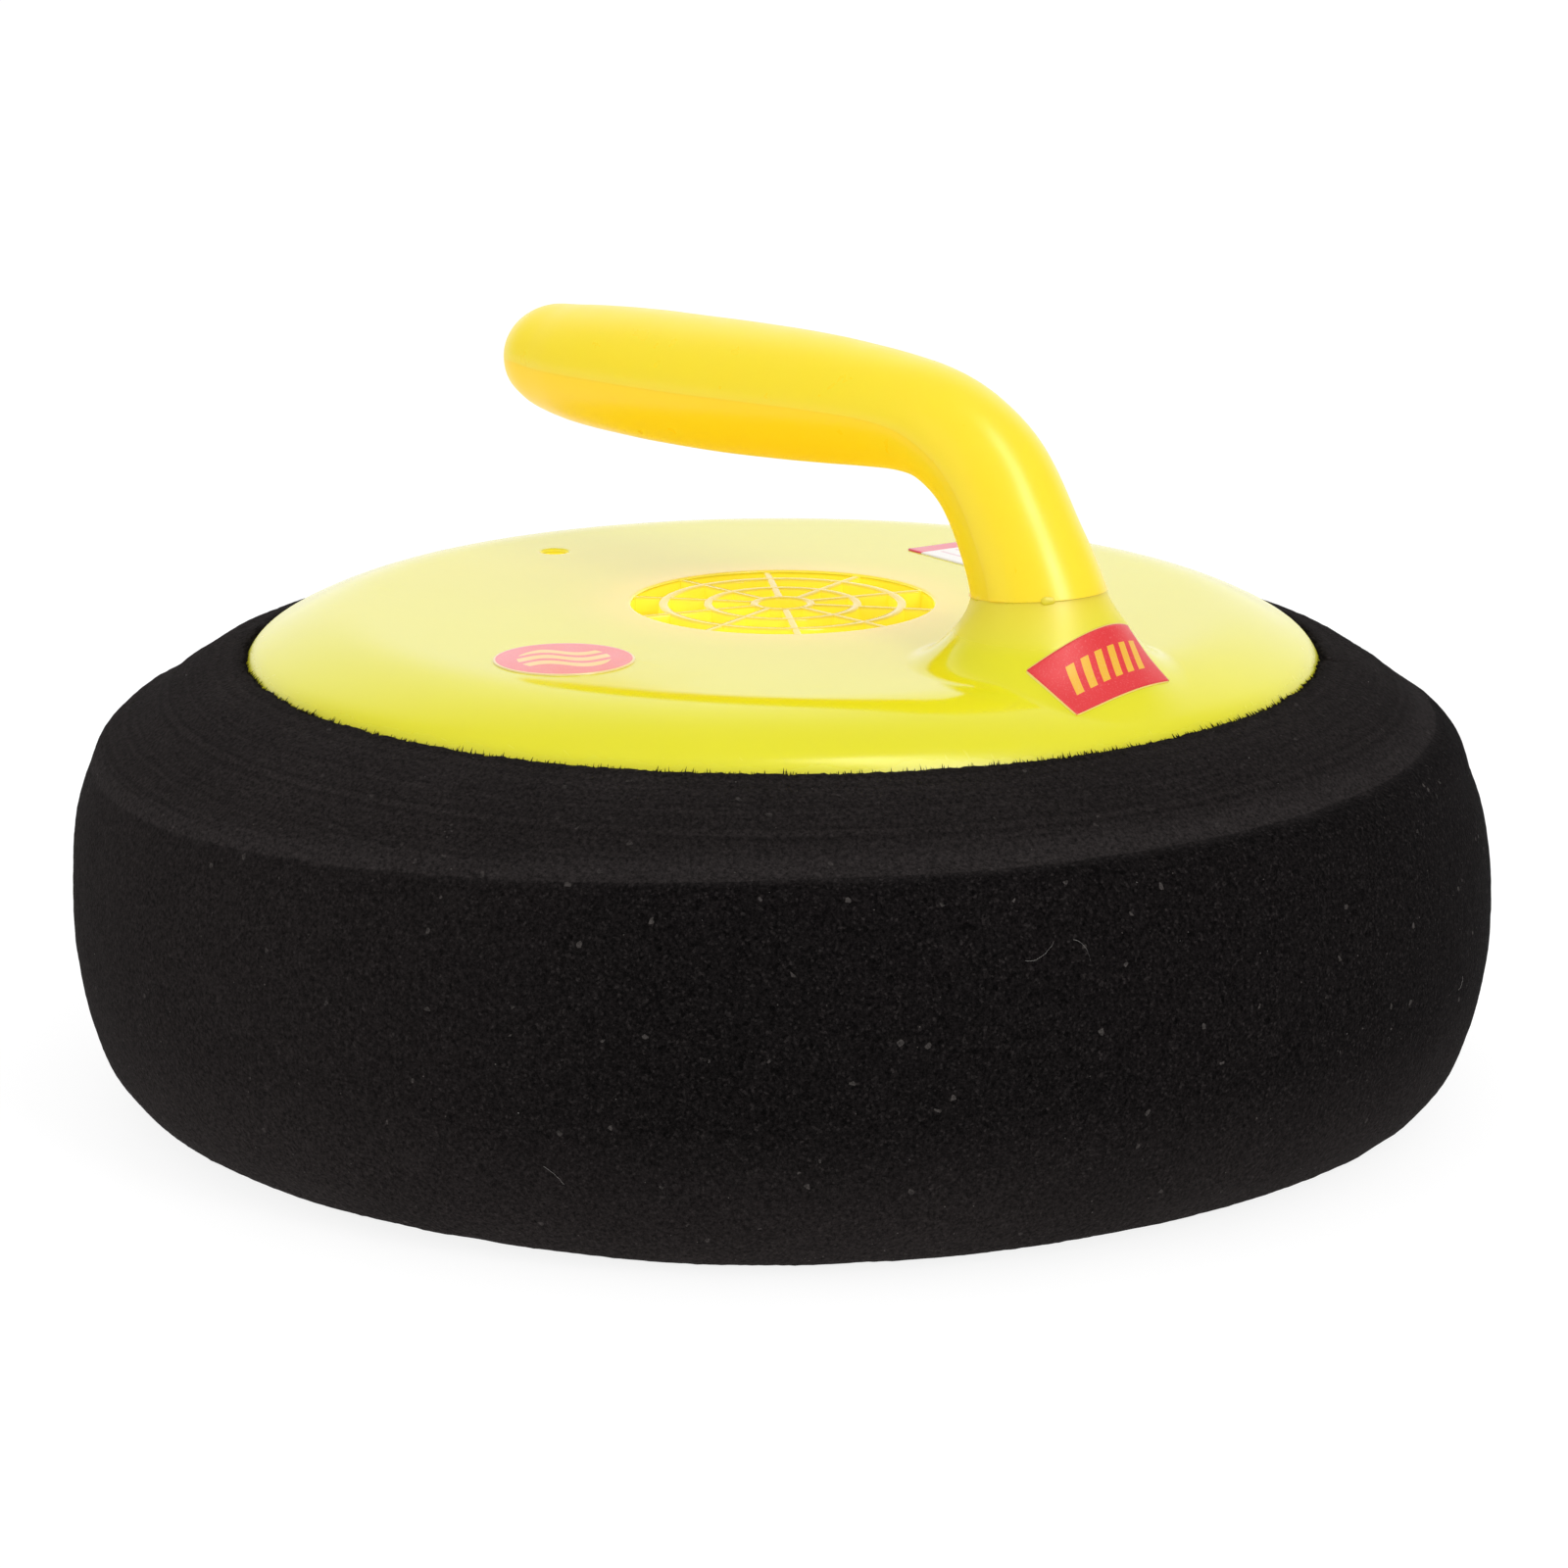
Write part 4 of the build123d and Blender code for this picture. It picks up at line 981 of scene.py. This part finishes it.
def add_pip(verts, faces):
    """A small uneven lump on the joint's rim."""
    angle = math.radians(-37)
    out_x, out_y = math.cos(angle), math.sin(angle)
    center_x, center_y = JOINT_X + JOINT_R * out_x, JOINT_R * out_y
    center_z = JOINT_Z + JOINT_R * out_x * JOINT_SLOPE
    rows, cols = 20, 12
    base = len(verts)
    for i in range(rows):
        for j in range(cols):
            around, down = TURN * i / rows, math.pi * j / (cols - 1)
            uneven = 1 + 0.12 * math.sin(3 * around + 1) * math.sin(down)
            along = math.sin(down) * math.cos(around) * uneven
            outward = math.sin(down) * math.sin(around) * 0.42 * uneven
            verts.append([
                center_x - along * 1.02 * out_y + outward * out_x,
                center_y + along * 0.98 * out_x + outward * out_y,
                center_z + 0.02 + math.cos(down) * 0.62 * uneven,
            ])
    faces += grid_faces(rows, cols, base, wrap_rows=True, order=ROWS_FIRST_BACK)


def build_cover(material):
    verts, faces, (grille_edge, joint_edge, lamp_edge, skirt_edge) = cover_skin()
    about_lamp = circle_about(LED_X, LED_Y)
    add_wall(verts, faces, skirt_edge, SKIRT_AND_INSIDE, circle_about(), reverse=False)
    add_wall(verts, faces, grille_edge, GRILLE_WALL, circle_about(), reverse=True)
    add_wall(verts, faces, lamp_edge, LAMP_WALL, about_lamp, reverse=True)
    add_wall(verts, faces, joint_edge, JOINT_SOCKET, joint_inset, reverse=True)
    add_grille(verts, faces)
    # four screw columns, then the lamp's boss
    for k in range(4):
        angle = math.radians(45 + 90 * k)
        x, y = 66.5 * math.cos(angle), 66.5 * math.sin(angle)
        add_column(verts, faces, x, y, radius=3.7, bottom=27.7, top=62.5, bore=1.45)
    add_column(verts, faces, LED_X, LED_Y, radius=3.1, bottom=58.5, top=65.2, bore=1.58)
    add_pip(verts, faces)
    piece("cover_shell", verts, faces, material, ("top_cover",))


build_cover(cover_material())

# ------------------------------------------------------------------ labels
LABEL_LIFT = 0.2
LABEL_STEP = 0.45
LABEL_SINK = 0.05


def label_plane(origin, across, up):
    """(origin, u axis, v axis), with unit axes at right angles."""
    u_axis = Vector(across).normalized()
    v_axis = (Vector(up) - Vector(up).dot(u_axis) * u_axis).normalized()
    return origin, u_axis, v_axis


def level_plane(origin, degrees):
    angle = math.radians(degrees)
    cos, sin = math.cos(angle), math.sin(angle)
    return label_plane(origin, (cos, sin, 0), (-sin, cos, 0))


def skin_landing(plane):
    """The plane's normal, and a function that carries (u, v) along it onto the skin."""
    origin, u_axis, v_axis = Vector(plane[0]), plane[1], plane[2]
    normal = u_axis.cross(v_axis)

    def land(u, v):
        start = origin + u_axis * u + v_axis * v
        low, high = -8.0, 8.0
        for _ in range(40):
            middle = (low + high) / 2
            point = start + normal * middle
            if point.z > surface_z(point.x, point.y):
                high = middle
            else:
                low = middle
        return start + normal * low

    return normal, land


def round_label(name, plane, radius, material, node):
    """A thin disc laid on the skin."""
    normal, land = skin_landing(plane)
    segments = 96
    angles = [TURN * i / segments for i in range(segments)]
    even = np.linspace(0.6, radius - 0.25, int(radius / LABEL_STEP))
    radii = np.concatenate([even, [radius - 0.08, radius]])
    verts = []
    for k, ring_r in enumerate(radii):
        lift = LABEL_LIFT if k < len(radii) - 1 else LABEL_LIFT * 0.7
        for angle in angles:
            point = land(ring_r * math.cos(angle), ring_r * math.sin(angle))
            verts.append(tuple(point + normal * lift))
    faces = grid_faces(len(radii), segments, wrap_cols=True)
    center = len(verts)
    verts.append(tuple(land(0, 0) + normal * LABEL_LIFT))
    faces += [(center, i, (i + 1) % segments) for i in range(segments)]
    rim, skirt = (len(radii) - 1) * segments, len(verts)
    for i, angle in enumerate(angles):
        point = land(radius * math.cos(angle), radius * math.sin(angle))
        verts.append(tuple(point - normal * LABEL_SINK))
        j = (i + 1) % segments
        faces.append((rim + i, skirt + i, skirt + j, rim + j))
    piece(name, verts, faces, material, (node,))


def rounded_corner(u, v, half_u, half_v, corner):
    """Pulls a point in a rectangle's corner in to the corner's radius."""
    over_u, over_v = abs(u) - (half_u - corner), abs(v) - (half_v - corner)
    if over_u > 0 and over_v > 0:
        pull = max(over_u, over_v) / math.hypot(over_u, over_v)
        u = math.copysign(half_u - corner + over_u * pull, u)
        v = math.copysign(half_v - corner + over_v * pull, v)
    return u, v


def square_label(name, plane, half_u, half_v, corner, material, node):
    """A thin rectangle with rounded corners laid on the skin."""
    normal, land = skin_landing(plane)
    steps_u, steps_v = int(2 * half_u / LABEL_STEP), int(2 * half_v / LABEL_STEP)
    cols = steps_v + 1
    verts = []
    for i in range(steps_u + 1):
        for j in range(cols):
            u, v = -half_u + 2 * half_u * i / steps_u, -half_v + 2 * half_v * j / steps_v
            u, v = rounded_corner(u, v, half_u, half_v, corner)
            at_edge = min(half_u - abs(u), half_v - abs(v)) < 0.02
            lift = LABEL_LIFT * (0.75 if at_edge else 1.0)
            verts.append(tuple(land(u, v) + normal * lift))
    faces = grid_faces(steps_u + 1, cols)
    ring = [i * cols for i in range(steps_u + 1)]
    ring += [steps_u * cols + j for j in range(1, cols)]
    ring += [i * cols + steps_v for i in range(steps_u - 1, -1, -1)]
    ring += list(range(steps_v - 1, 0, -1))
    skirt = len(verts)
    verts += [tuple(Vector(verts[i]) - normal * (LABEL_LIFT + LABEL_SINK)) for i in ring]
    for k in range(len(ring)):
        j = (k + 1) % len(ring)
        faces.append((ring[k], skirt + k, skirt + j, ring[j]))
    piece(name, verts, faces, material, (node,))


def build_labels():
    side = label_plane((64.0, -1.47, 68.6), (-0.03, 0.99, 0.134), (-0.739, -0.248, 0.627))
    square_label(
        "side_sticker", side, half_u=9.6, half_v=4.9, corner=0.6,
        material=label_material("side_print", side_print, side, dullness=0.20),
        node="side_label",
    )
    disc = level_plane((8.12, -46.65, 67.9), 48 + 8)
    round_label(
        "round_sticker", disc, radius=9.5,
        material=label_material("round_print", round_print, disc),
        node="round_label",
    )
    rear = level_plane((-6.2, 43.85, 67.9), -6.7)
    square_label(
        "rear_sticker", rear, half_u=8, half_v=7, corner=0.7,
        material=label_material("rear_print", rear_print, rear),
        node="rear_label",
    )


build_labels()


# ------------------------------------------------------------------ handle
HANDLE_ARC_POINTS = 49
HANDLE_INNER_STRIDE = 6
HANDLE_WALL = 1.9
HANDLE_GAP = 0.001
JOINT_COS, JOINT_SIN = math.cos(math.radians(JOINT_LEAN)), math.sin(math.radians(JOINT_LEAN))


def above_joint(point):
    """Signed distance above the joint's leaning plane."""
    return (point[0] - JOINT_X) * -JOINT_SIN + (point[2] - JOINT_Z) * JOINT_COS


def slide_to_joint(point, along_x, along_z):
    """Moves a point below the joint back along the handle to just under its plane."""
    x, y, z = point
    depth = above_joint(point) + 0.02
    if depth < 0:
        rate = along_x * -JOINT_SIN + along_z * JOINT_COS
        x -= along_x * depth / rate
        z -= along_z * depth / rate
    return x, y, z


def handle_half(name, side, material, node, inset):
    """Half of the handle, split along its mid-surface: side is 1 above it and -1 below."""
    lengths = chord_lengths([station[:2] for station in GRIP])
    x_column, z_column, height_column, width_column = zip(*GRIP)
    center_x, center_z = cubic(lengths, x_column), cubic(lengths, z_column)
    half_height = monotone_cubic(lengths, height_column)
    half_width = monotone_cubic(lengths, width_column)
    tip_end = lengths[4]
    tip = np.linspace(0, tip_end, 18)[:-1]
    outer_arc = range(HANDLE_ARC_POINTS)
    inner_arc = range(HANDLE_ARC_POINTS - 1, -1, -HANDLE_INNER_STRIDE)
    verts = []
    rows = 0
    for at in np.concatenate([tip, np.linspace(tip_end, lengths[-1], 190)]):
        x, z = float(center_x(at)), float(center_z(at))
        height, width = float(half_height(at)) - inset, float(half_width(at)) - inset
        if side < 0:
            # the lower half is fuller at the tip
            height += 1.55 * math.exp(-(((x + 55.6) / 1.9) ** 2))
        along_x = float(center_x(at + 0.05) - center_x(at - 0.05))
        along_z = float(center_z(at + 0.05) - center_z(at - 0.05))
        step = math.hypot(along_x, along_z)
        along_x, along_z = along_x / step, along_z / step
        inner_size = max(width - HANDLE_WALL, 0.15), max(height - HANDLE_WALL, 0.15)
        row = []
        for arc, (arc_width, arc_height) in (
            (outer_arc, (width, height)), (inner_arc, inner_size),
        ):
            for k in arc:
                angle = math.pi * k / (HANDLE_ARC_POINTS - 1)
                out = arc_height * math.sin(angle) + HANDLE_GAP
                y = arc_width * math.cos(angle)
                row.append((x - along_z * out * side, y, z + along_x * out * side))
        verts += [slide_to_joint(point, along_x, along_z) for point in row]
        rows += 1
        if max(above_joint(point) for point in row) <= 0.0:
            break
    cols = len(row)
    order = COLS_FIRST if side > 0 else COLS_FIRST_BACK
    faces = grid_faces(rows, cols, wrap_cols=True, order=order)
    tip_cap = tuple(range(cols))
    faces.append(tip_cap[::-1] if side > 0 else tip_cap)
    half = piece(name, verts, faces, material, (node,))
    half.data.set_sharp_from_angle(angle=math.radians(42))


def build_handle():
    outer = handle_material(
        "gold_outer", (1.0, 0.795, 0.018), deeper=(0.98, 0.69, 0.011), glow=0.065, specular=0.5
    )
    # the inner (lower) half: a deeper colour, partly its own tone and partly painted shade on the
    # underside, with a stronger painted glow
    inner = handle_material(
        "gold_inner", (0.99, 0.68, 0.012), deeper=(0.97, 0.61, 0.009), glow=0.17, specular=0.26
    )
    handle_half("handle_outer", 1, outer, "handle_outer_shell", inset=0.0)
    handle_half(
        "handle_inner", -1, inner, "handle_inner_shell", inset=0.012
    )


build_handle()

# ------------------------------------------------------------------ foam bumper
FOAM_COLUMNS = 720
FOAM_ROWS = 104
# a typical radius of the foam, which turns angles into lengths round it
FOAM_R = 97
# the outer section from the foot's inside to the cut lip at the top: radius, z
FOAM_OUTER = [
    (77.2, 1.0), (80.5, 1.0), (84.5, 1.0), (87.6, 1.02), (90.3, 1.75), (92.6, 3.7),
    (94.7, 6.1), (96.3, 8.8), (98.9, 16.5), (100.0, 27.0), (99.3, 36.0), (97.65, 43.0),
    (96.35, 46.2),
    # the upper slope
    (95.3, 48.2), (93.9, 49.75), (92.3, 51.2), (90.3, 53.1), (88.0, 55.35), (85.2, 57.55),
    (82.3, 59.35), (79.2, 60.75), (76.9, 61.45), (75.6, 61.72),
    # the lip
    (75.02, 61.45), (74.98, 60.9), (75.2, 60.3),
]
# the inner wall with its groove, from top to bottom: radius, z
FOAM_INNER = [
    (75.9, 58.5), (76.15, 57), (76.15, 45), (76.15, 33.2), (80.2, 33.2), (80.2, 29.7),
    (76.15, 29.7), (76.15, 5.0), (77.0, 1.0),
]
# hairs: angle in degrees, distance before the section's end, length, bend in radians
HAIRS = [
    (-24, 33, 4.2, 0.5), (-20, 31, 3.0, -0.7), (24, 52, 1.8, 0.6), (120, 50, 4.0, 0.4),
    (200, 38, 3.0, 0.5), (300, 60, 3.4, -0.4), (150, 30, 1.8, 0.6),
]


class FoamSkin:
    """The foam's outer skin: radii and heights, one row per angle, one column per section point."""

    def __init__(self, rng):
        lengths = chord_lengths(FOAM_OUTER)
        self.total = lengths[-1]
        self.along = np.linspace(0, self.total, FOAM_ROWS)
        self.section = np.stack(
            [cubic(lengths, column)(self.along) for column in zip(*FOAM_OUTER)], -1
        )
        tangent = np.gradient(self.section, axis=0)
        tangent /= np.hypot(tangent[:, 0], tangent[:, 1])[:, None]
        self.normals = np.stack([tangent[:, 1], -tangent[:, 0]], -1)
        self.angles = np.linspace(0, 2 * np.pi, FOAM_COLUMNS, endpoint=False)
        self.around = self.angles[:, None]
        offset = self.roughness(rng) + self.uneven_shape()
        self.radius = self.section[None, :, 0] + self.normals[None, :, 0] * offset
        self.height = self.section[None, :, 1] + self.normals[None, :, 1] * offset
        self.fray_lip(rng)

    def turn_from(self, angle):
        """Signed angle of each row from the given one."""
        return np.angle(np.exp(1j * (self.around - angle)))

    def dent(self, angle, at, half_round, half_along, height):
        turn = (self.turn_from(angle) * FOAM_R / half_round) ** 2
        return height * np.exp(-(turn + ((self.along[None, :] - at) / half_along) ** 2))

    def roughness(self, rng):
        """Waviness, grain, sanding rings and dents."""
        along, total = self.along, self.total
        section_r, section_z = self.section.T
        size = (FOAM_COLUMNS, FOAM_ROWS)
        low = smooth_noise(*size, 26, 7, rng) * 0.16 + smooth_noise(*size, 90, 22, rng) * 0.07
        high = smooth_noise(*size, 360, 60, rng) * 0.035 + rng.normal(size=size) * 0.018
        fade = np.clip(np.minimum(along / 6, (total - along) / 5), 0.12, 1)[None, :]
        offset = (low + high) * fade - 0.10
        upper_slope = np.clip((section_z - 50) / 4, 0, 1) * np.clip((61 - section_z) / 2, 0, 1)
        ring_depths = rng.normal(size=60) * 0.10
        rings = np.interp(along, np.linspace(0, total, 60), ring_depths)
        offset += (rings * upper_slope)[None, :]
        # a shallow dent on the camera's left flank, then small ones all round
        flank = along[np.argmin(np.abs(section_z - 37) + 100 * (section_r < 96))]
        offset += self.dent(math.radians(-82.0 - 43), flank, 3.0, 3.0, -0.55)
        for _ in range(26):
            offset += self.dent(
                angle=rng.uniform(0, 2 * np.pi),
                at=rng.uniform(20, total - 18),
                half_round=rng.uniform(2, 5),
                half_along=rng.uniform(1.5, 4),
                height=rng.uniform(-0.22, -0.06),
            )
        return offset

    def uneven_shape(self):
        """The soft ring isn't quite true: fuller at parts of the foot and of the crease."""
        section_r, section_z = self.section[None, :, 0], self.section[None, :, 1]

        def near(degrees, width):
            turn = np.degrees(self.turn_from(math.radians(degrees)))
            return np.exp(-((turn / width) ** 2))

        def at_height(z, width):
            return np.exp(-(((section_z - z) / width) ** 2))

        foot = 0.5 + 0.6 * near(-46, 15) + 0.45 * near(-125, 28)
        foot = foot + 0.4 * near(30, 16) - 0.4 * near(0, 10)
        outer = np.clip((section_r - 88) / 4, 0, 1)
        offset = foot * at_height(2.0, 8.5) * np.clip((section_r - 84) / 4, 0, 1)
        offset += near(215, 28) * outer * (1.3 * at_height(50, 5) + 1.0 * at_height(40, 7))
        offset += near(-15, 80) * outer * 1.4 * at_height(50.6, 3.0)
        offset += near(63, 25) * outer * (0.45 * at_height(53, 4) - 0.35 * at_height(45, 4))
        return offset

    def fray_lip(self, rng):
        """The cut edge wanders in and out and up and down, with a nick on the camera's right."""
        column = (FOAM_COLUMNS, 1)
        to_end = self.along - self.total
        at_lip = np.clip((to_end + 2.6) / 1.6, 0, 1)[None, :]
        ragged = smooth_noise(FOAM_COLUMNS, 2, 240, 1, rng)[:, :1] * 0.20
        ragged = ragged + rng.normal(size=column) * 0.13
        ragged = ragged + smooth_noise(FOAM_COLUMNS, 2, 40, 1, rng)[:, :1] * 0.22
        self.radius = self.radius - at_lip * (0.10 + ragged)
        self.height = self.height + at_lip * (rng.normal(size=column) * 0.10 + ragged * 0.4)
        nick = np.exp(-((self.turn_from(math.radians(43)) * 75 / 1.6) ** 2))
        self.radius += nick * np.clip((to_end + 5.0) / 3.5, 0, 1)[None, :] * 1.1
        self.height -= nick * np.clip((to_end + 5.5) / 4, 0, 1)[None, :] * 0.9

    def spot(self, angle, at):
        """Point and normal of the skin near an angle and a length along the section."""
        j = int(np.clip(np.interp(at, self.along, np.arange(FOAM_ROWS)), 0, FOAM_ROWS - 2))
        i = int(round(angle / (2 * np.pi) * FOAM_COLUMNS)) % FOAM_COLUMNS
        cos, sin = math.cos(self.angles[i]), math.sin(self.angles[i])
        radius = self.radius[i, j]
        normal_r, normal_z = self.normals[j]
        point = Vector((radius * cos, radius * sin, self.height[i, j]))
        return point, Vector((normal_r * cos, normal_r * sin, normal_z))


def add_tufts(verts, faces, rng):
    """Tufts of torn cell wall along the lip."""
    for _ in range(4600):
        angle = rng.uniform(0, 2 * np.pi)
        # an unused draw that keeps the random sequence
        rng.uniform(-0.5, 0.9)
        base_r = 75.15 + abs(rng.normal()) * 0.35
        size = min(rng.gamma(2.4, 0.17), 1.0)
        width = rng.uniform(0.12, 0.30)
        base_z = 61.35 + (base_r - 75.15) * 0.1
        tip_r = base_r - size * (0.45 + 0.5 * rng.random())
        tip_z = base_z + size * (0.15 + 0.85 * rng.random())
        tip_angle = angle + rng.normal() * 0.002
        base = len(verts)
        for radius, at, z in (
            (base_r, angle - width / 150, base_z - 0.15),
            (base_r, angle + width / 150, base_z - 0.15),
            (base_r + width, angle, base_z - 0.05),
            (tip_r, tip_angle, tip_z),
        ):
            verts.append([radius * math.cos(at), radius * math.sin(at), z])
        for corners in ((0, 1, 3), (1, 2, 3), (2, 0, 3), (0, 2, 1)):
            faces.append(tuple(base + c for c in corners))


def build_foam_ring(skin, rng):
    around = skin.around
    x, y = skin.radius * np.cos(around), skin.radius * np.sin(around)
    verts = np.stack([x, y, np.maximum(skin.height, 0.12)], -1).reshape(-1, 3).tolist()
    faces = grid_faces(FOAM_COLUMNS, FOAM_ROWS, wrap_rows=True)
    inner = len(verts)
    count = len(FOAM_INNER)
    for angle in skin.angles:
        for radius, z in FOAM_INNER:
            verts.append([radius * math.cos(angle), radius * math.sin(angle), z])
    faces += grid_faces(FOAM_COLUMNS, count, inner, wrap_rows=True)
    # join the inner wall to the lip and to the foot
    for i in range(FOAM_COLUMNS):
        k = (i + 1) % FOAM_COLUMNS
        outer_i, outer_k = i * FOAM_ROWS, k * FOAM_ROWS
        inner_i, inner_k = inner + i * count, inner + k * count
        faces.append((outer_i + FOAM_ROWS - 1, outer_k + FOAM_ROWS - 1, inner_k, inner_i))
        faces.append((inner_i + count - 1, inner_k + count - 1, outer_k, outer_i))
    add_tufts(verts, faces, rng)
    piece("foam_ring", verts, faces, foam_material(), ("foam_bumper",))


def add_flecks(verts, faces, skin, rng):
    """Small low cones of dust, more of them on the camera's right flank."""
    sides = 5
    for _ in range(70):
        if rng.random() < 0.55:
            angle = rng.normal(math.radians(20), 0.75)
        else:
            angle = rng.uniform(0, 2 * np.pi)
        point, normal = skin.spot(angle % (2 * np.pi), rng.uniform(8, skin.total - 6))
        size = min(rng.gamma(1.4, 0.020) + 0.025, 0.11)
        across = normal.orthogonal().normalized()
        across.rotate(Matrix.Rotation(rng.uniform(0, 6.28), 3, normal))
        up = normal.cross(across)
        base = len(verts)
        for j in range(sides):
            turn = TURN * j / sides
            radius = size * rng.uniform(0.5, 1.1)
            flat = across * radius * math.cos(turn) + up * radius * 0.7 * math.sin(turn)
            verts.append(tuple(point + normal * 0.02 + flat))
            faces.append((base + j, base + (j + 1) % sides, base + sides))
        verts.append(tuple(point + normal * (0.06 + size * 0.5)))


def add_hairs(verts, faces, skin, rng):
    steps = 12
    thickness = 0.024
    for degrees, before_end, hair_length, bend in HAIRS:
        start = skin.total - before_end
        direction = rng.uniform(-0.5, 0.5)
        base = len(verts)
        for j in range(steps + 1):
            t = j / steps
            run = hair_length * t
            angle = math.radians(degrees) + run * math.cos(direction + bend * t) / FOAM_R
            at = start + run * math.sin(direction + bend * t * 1.6)
            point, normal = skin.spot(angle % (2 * np.pi), at)
            # the exact point between grid columns
            radius = math.hypot(point.x, point.y)
            z = float(np.interp(at, skin.along, skin.section[:, 1]))
            point = Vector((radius * math.cos(angle), radius * math.sin(angle), z))
            point += normal * (0.12 + 0.15 * math.sin(t * 3.1))
            for side in (Vector((0, 0, 1)), normal, Vector((0, 0, -1))):
                verts.append(tuple(point + side * thickness))
        faces += grid_faces(steps + 1, 3, base, wrap_cols=True, order=COLS_FIRST)


def dust_material():
    m = Material("dust_fleck")
    color = m.mix(m.noise(mm=1.5, detail=2), (0.16, 0.15, 0.14), (0.42, 0.40, 0.38))
    normal = m.bump(m.noise(mm=0.1, detail=2), strength=0.3, mm=0.03)
    return m.done(color, 0.9, normal, Specular_IOR_Level=0.2)


def build_foam():
    rng = np.random.default_rng(11)
    skin = FoamSkin(rng)
    build_foam_ring(skin, rng)
    verts, faces = [], []
    add_flecks(verts, faces, skin, rng)
    add_hairs(verts, faces, skin, rng)
    piece("foam_dust", verts, faces, dust_material())


build_foam()


# ------------------------------------------------------------------ floor, light, camera (m)
def floor_material():
    """Evenly bright white from above, clear from below."""
    m = Material("floor_white")
    color = m.mix(m.noise(mm=40, detail=2), (0.20, 0.20, 0.20), (0.22, 0.22, 0.22))
    matt = m.principled(color, 0.9, Specular_IOR_Level=0.1)
    backfacing = m.signal("ShaderNodeNewGeometry", output="Backfacing")
    white = (1, 1, 1, 1)
    emission = m.signal("ShaderNodeEmission", {"Color": white, "Strength": 0.86})
    above = m.signal("ShaderNodeAddShader", {0: matt, 1: emission})
    below = m.signal("ShaderNodeBsdfTransparent", {"Color": white})
    return m.finish(m.signal("ShaderNodeMixShader", {0: backfacing, 1: above, 2: below}))


def build_floor():
    half, z = 6.0, -0.0004
    mesh = bpy.data.meshes.new("floor")
    corners = [(-half, -half, z), (half, -half, z), (half, half, z), (-half, half, z)]
    mesh.from_pydata(corners, [], [(0, 1, 2, 3)])
    floor = bpy.data.objects.new("floor", mesh)
    COLLECTION.objects.link(floor)
    mesh.materials.append(floor_material())


def build_world():
    """White; brighter away from the camera for diffuse light, even for camera and glossy rays."""
    camera_strength, glossy_strength = 1.05, 0.64
    world = bpy.data.worlds.new("studio")
    bpy.context.scene.world = world
    shader = Shader(world)
    rays = shader.node("ShaderNodeLightPath").outputs
    direction = shader.signal("ShaderNodeTexCoord", output="Generated")
    away = shader.signal(
        "ShaderNodeVectorMath", {0: direction, 1: (-VIEW_SIN, VIEW_COS, 0)}, "Value",
        operation="DOT_PRODUCT",
    )
    wall = away.ramp(over=(0.36, 0.82), to=(0.34, 1.18))
    wall.socket.node.interpolation_type = "SMOOTHSTEP"
    glossy = {0: Signal(rays["Is Glossy Ray"]), 2: glossy_strength, 3: wall}
    unseen = shader.signal("ShaderNodeMix", glossy, data_type="FLOAT")
    camera = {0: Signal(rays["Is Camera Ray"]), 2: unseen, 3: camera_strength}
    strength = shader.signal("ShaderNodeMix", camera, data_type="FLOAT")
    background = shader.signal("ShaderNodeBackground", {0: (1, 1, 1, 1), 1: strength})
    shader.node("ShaderNodeOutputWorld", {0: background})


def area_light(name, right, towards, up, size, power):
    """A lamp offset from the product: to the camera's right, towards the camera and up."""
    target = Vector((0, 0, 0.05))
    light = bpy.data.lights.new(name, "AREA")
    light.shape = "RECTANGLE"
    light.size, light.size_y = size
    light.energy = power
    lamp = bpy.data.objects.new(name, light)
    COLLECTION.objects.link(lamp)
    lamp.location = target + VIEW_RIGHT * right + VIEW_TOWARDS * towards + Vector((0, 0, up))
    lamp.rotation_mode = "QUATERNION"
    lamp.rotation_quaternion = (target - lamp.location).to_track_quat("-Z", "Y")
    return lamp


def build_lights():
    top = area_light("key_top", right=-0.1, towards=-0.1, up=1.1, size=(2.4, 2.2), power=6.4)
    top.visible_glossy = False
    area_light("key_right", right=0.50, towards=0.74, up=0.50, size=(0.26, 0.62), power=2.6)
    strip = area_light(
        "neck_strip", right=0.46, towards=0.52, up=0.66, size=(0.26, 1.5), power=6.2
    )
    strip.visible_diffuse = False
    area_light("fill_left", right=-0.9, towards=0.35, up=0.35, size=(0.5, 0.7), power=0.5)


def build_camera():
    elevation = math.radians(14.325)
    distance = 0.8
    target = Vector((0, 0, 0.035))
    level = math.cos(elevation)
    back = Vector((VIEW_SIN * level, -VIEW_COS * level, math.sin(elevation)))
    data = bpy.data.cameras.new("camera")
    camera = bpy.data.objects.new("camera", data)
    COLLECTION.objects.link(camera)
    camera.location = target + back * distance
    camera.rotation_mode = "QUATERNION"
    camera.rotation_quaternion = (-back).to_track_quat("-Z", "Y")
    data.sensor_width = 36.0
    data.lens = 129.77865
    data.shift_x, data.shift_y = 0.000875, 0.0293375
    data.clip_start, data.clip_end = 0.01, 50
    bpy.context.scene.camera = camera
    view = bpy.context.scene.view_settings
    view.view_transform = "Standard"
    view.look = "None"
    view.exposure = 0.0
    view.gamma = 1.0


build_floor()
build_world()
build_lights()
build_camera()
